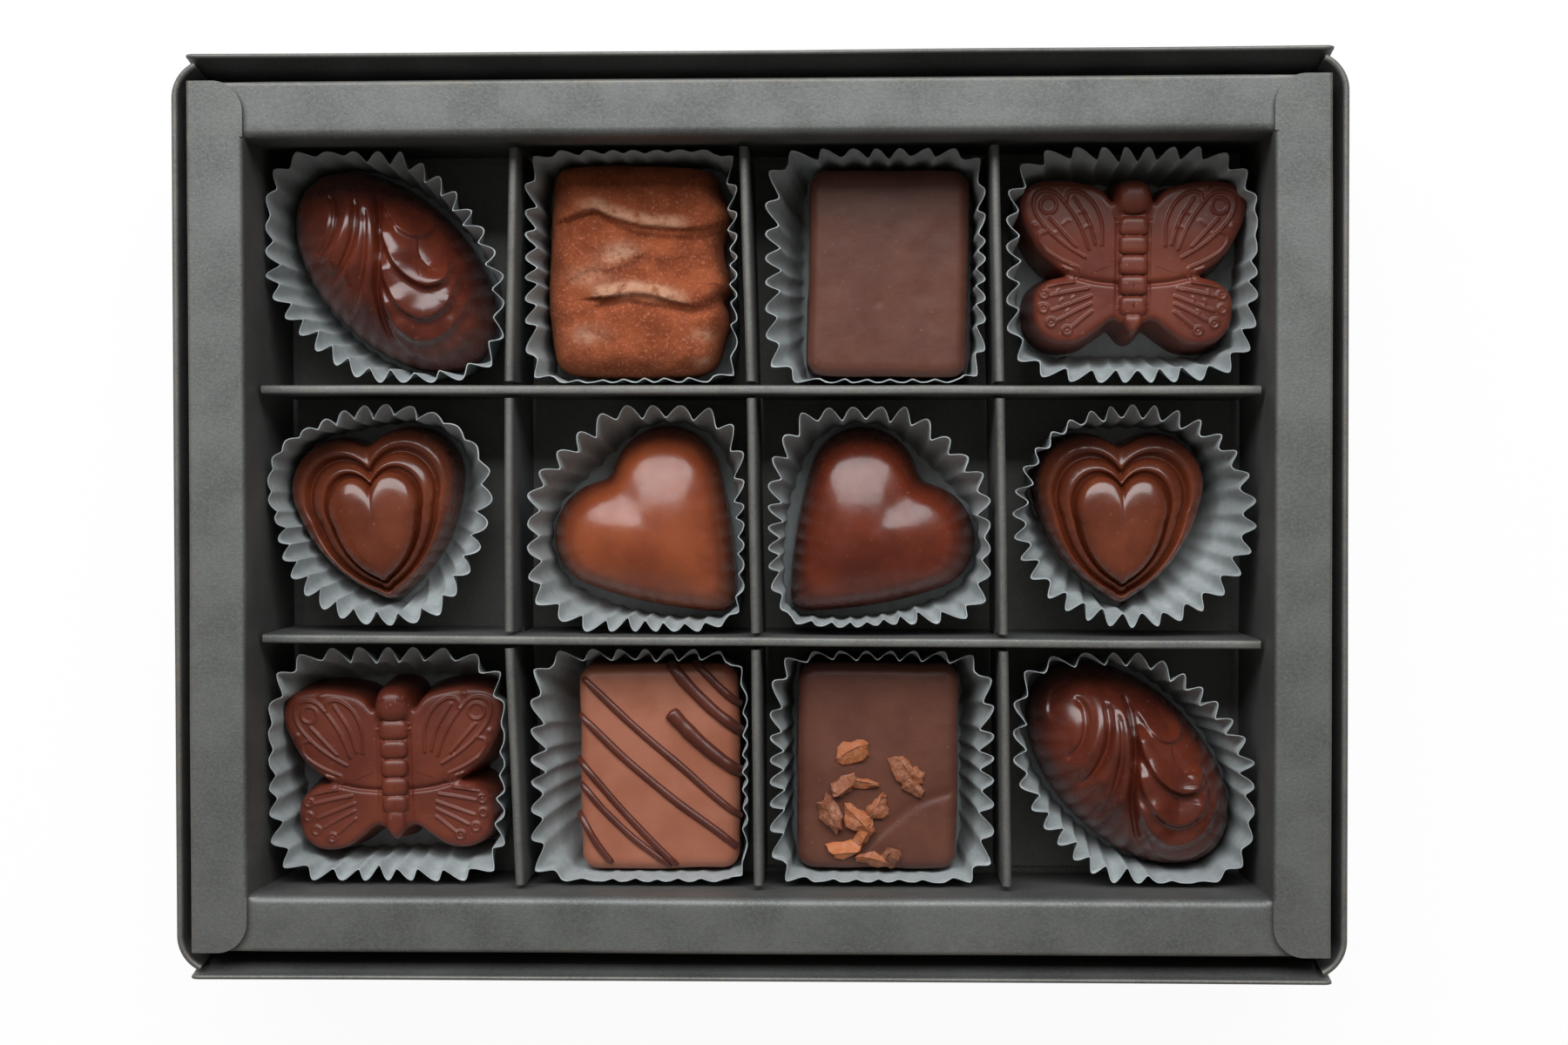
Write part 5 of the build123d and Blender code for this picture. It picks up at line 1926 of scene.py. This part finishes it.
@dataclass
class Studio:
    """A pale floor, one large soft window beyond the box's back, and the camera above."""

    window_power: float = 10.5
    window_size: tuple[float, float] = (1.3, 0.42)
    window_at: tuple[float, float, float] = (-0.1, 0.5, 0.62)
    window_tilt: float = -math.atan2(0.5, 0.6)
    window_colour: tuple[float, float, float] = (0.95, 0.98, 1.0)
    ambient: float = 0.19
    ambient_colour: tuple[float, float, float, float] = (1.0, 0.955, 0.89, 1.0)
    floor_half: float = 3.0
    floor_drop: float = 0.0003
    floor_white: float = 0.95
    camera_at: tuple[float, float, float] = (13.6288, 4.7944, 353.38)
    camera_turn: tuple[float, float, float] = (-0.0171, 0.0293, -0.0016)

    def floor(self) -> None:
        """A wide pale floor, white to the eye but still shaded by the box."""
        mesh = bpy.data.meshes.new("floor")
        corners = [(x * self.floor_half, y * self.floor_half, -self.floor_drop)
                   for x, y in ((-1, -1), (1, -1), (1, 1), (-1, 1))]
        mesh.from_pydata(corners, [], [(0, 1, 2, 3)])
        material = bpy.data.materials.new("matt_white_paper_roll")
        material.use_nodes = True
        tree = material.node_tree
        tree.nodes.clear()
        path = add_node(tree, "ShaderNodeLightPath").outputs
        seen = path["Is Camera Ray"]
        for ray in ("Is Glossy Ray", "Is Transmission Ray"):
            seen = add_node(tree, "ShaderNodeMath", {"operation": "ADD", "use_clamp": True}, in_0=seen,
                            in_1=path[ray]).outputs[0]
        share = Finish.times(tree, seen, self.floor_white)
        matt = add_node(tree, "ShaderNodeBsdfDiffuse", Color=linear("#f4f4f2"))
        white = add_node(tree, "ShaderNodeEmission", Color=(1.0, 1.0, 1.0, 1.0), Strength=1.0)
        mix = add_node(tree, "ShaderNodeMixShader", in_0=share, in_1=matt.outputs[0], in_2=white.outputs[0])
        add_node(tree, "ShaderNodeOutputMaterial", Surface=mix.outputs[0])
        mesh.materials.append(material)
        floor = bpy.data.objects.new("floor", mesh)
        bpy.context.scene.collection.objects.link(floor)

    def light(self) -> None:
        """The window and the even light of the room."""
        scene = bpy.context.scene
        window = bpy.data.lights.new("window", "AREA")
        window.shape = "RECTANGLE"
        window.size, window.size_y = self.window_size
        window.energy = self.window_power
        window.color = self.window_colour
        lamp = bpy.data.objects.new("window", window)
        lamp.location = self.window_at
        lamp.rotation_euler = (self.window_tilt, 0.0, 0.0)
        scene.collection.objects.link(lamp)
        world = scene.world or bpy.data.worlds.new("room")
        scene.world = world
        world.use_nodes = True
        background = world.node_tree.nodes.get("Background")
        background.inputs["Color"].default_value = self.ambient_colour
        background.inputs["Strength"].default_value = self.ambient

    def camera(self) -> None:
        """The camera, nearly straight above the box."""
        data = bpy.data.cameras.new("camera")
        data.lens, data.sensor_width, data.sensor_fit = 50.0, 36.0, "HORIZONTAL"
        data.clip_start = 0.01
        camera = bpy.data.objects.new("camera", data)
        camera.location = [place * MM for place in self.camera_at]
        camera.rotation_euler = self.camera_turn
        bpy.context.scene.collection.objects.link(camera)
        bpy.context.scene.camera = camera

    def build(self) -> None:
        """Sets up floor, light, camera and a plain view."""
        self.floor()
        self.light()
        self.camera()
        bpy.context.scene.view_settings.view_transform = "Standard"


def main() -> None:
    """Builds the box, its dividers, its cups and chocolates and the studio, in that order."""
    logging.basicConfig(level=logging.INFO, format="%(name)s: %(message)s")
    for part in (Lid(), Tray(), DividerGrid(), Assortment(), Studio()):
        log.info("building %s", type(part).__name__)
        part.build()


if __name__ == "__main__":
    main()
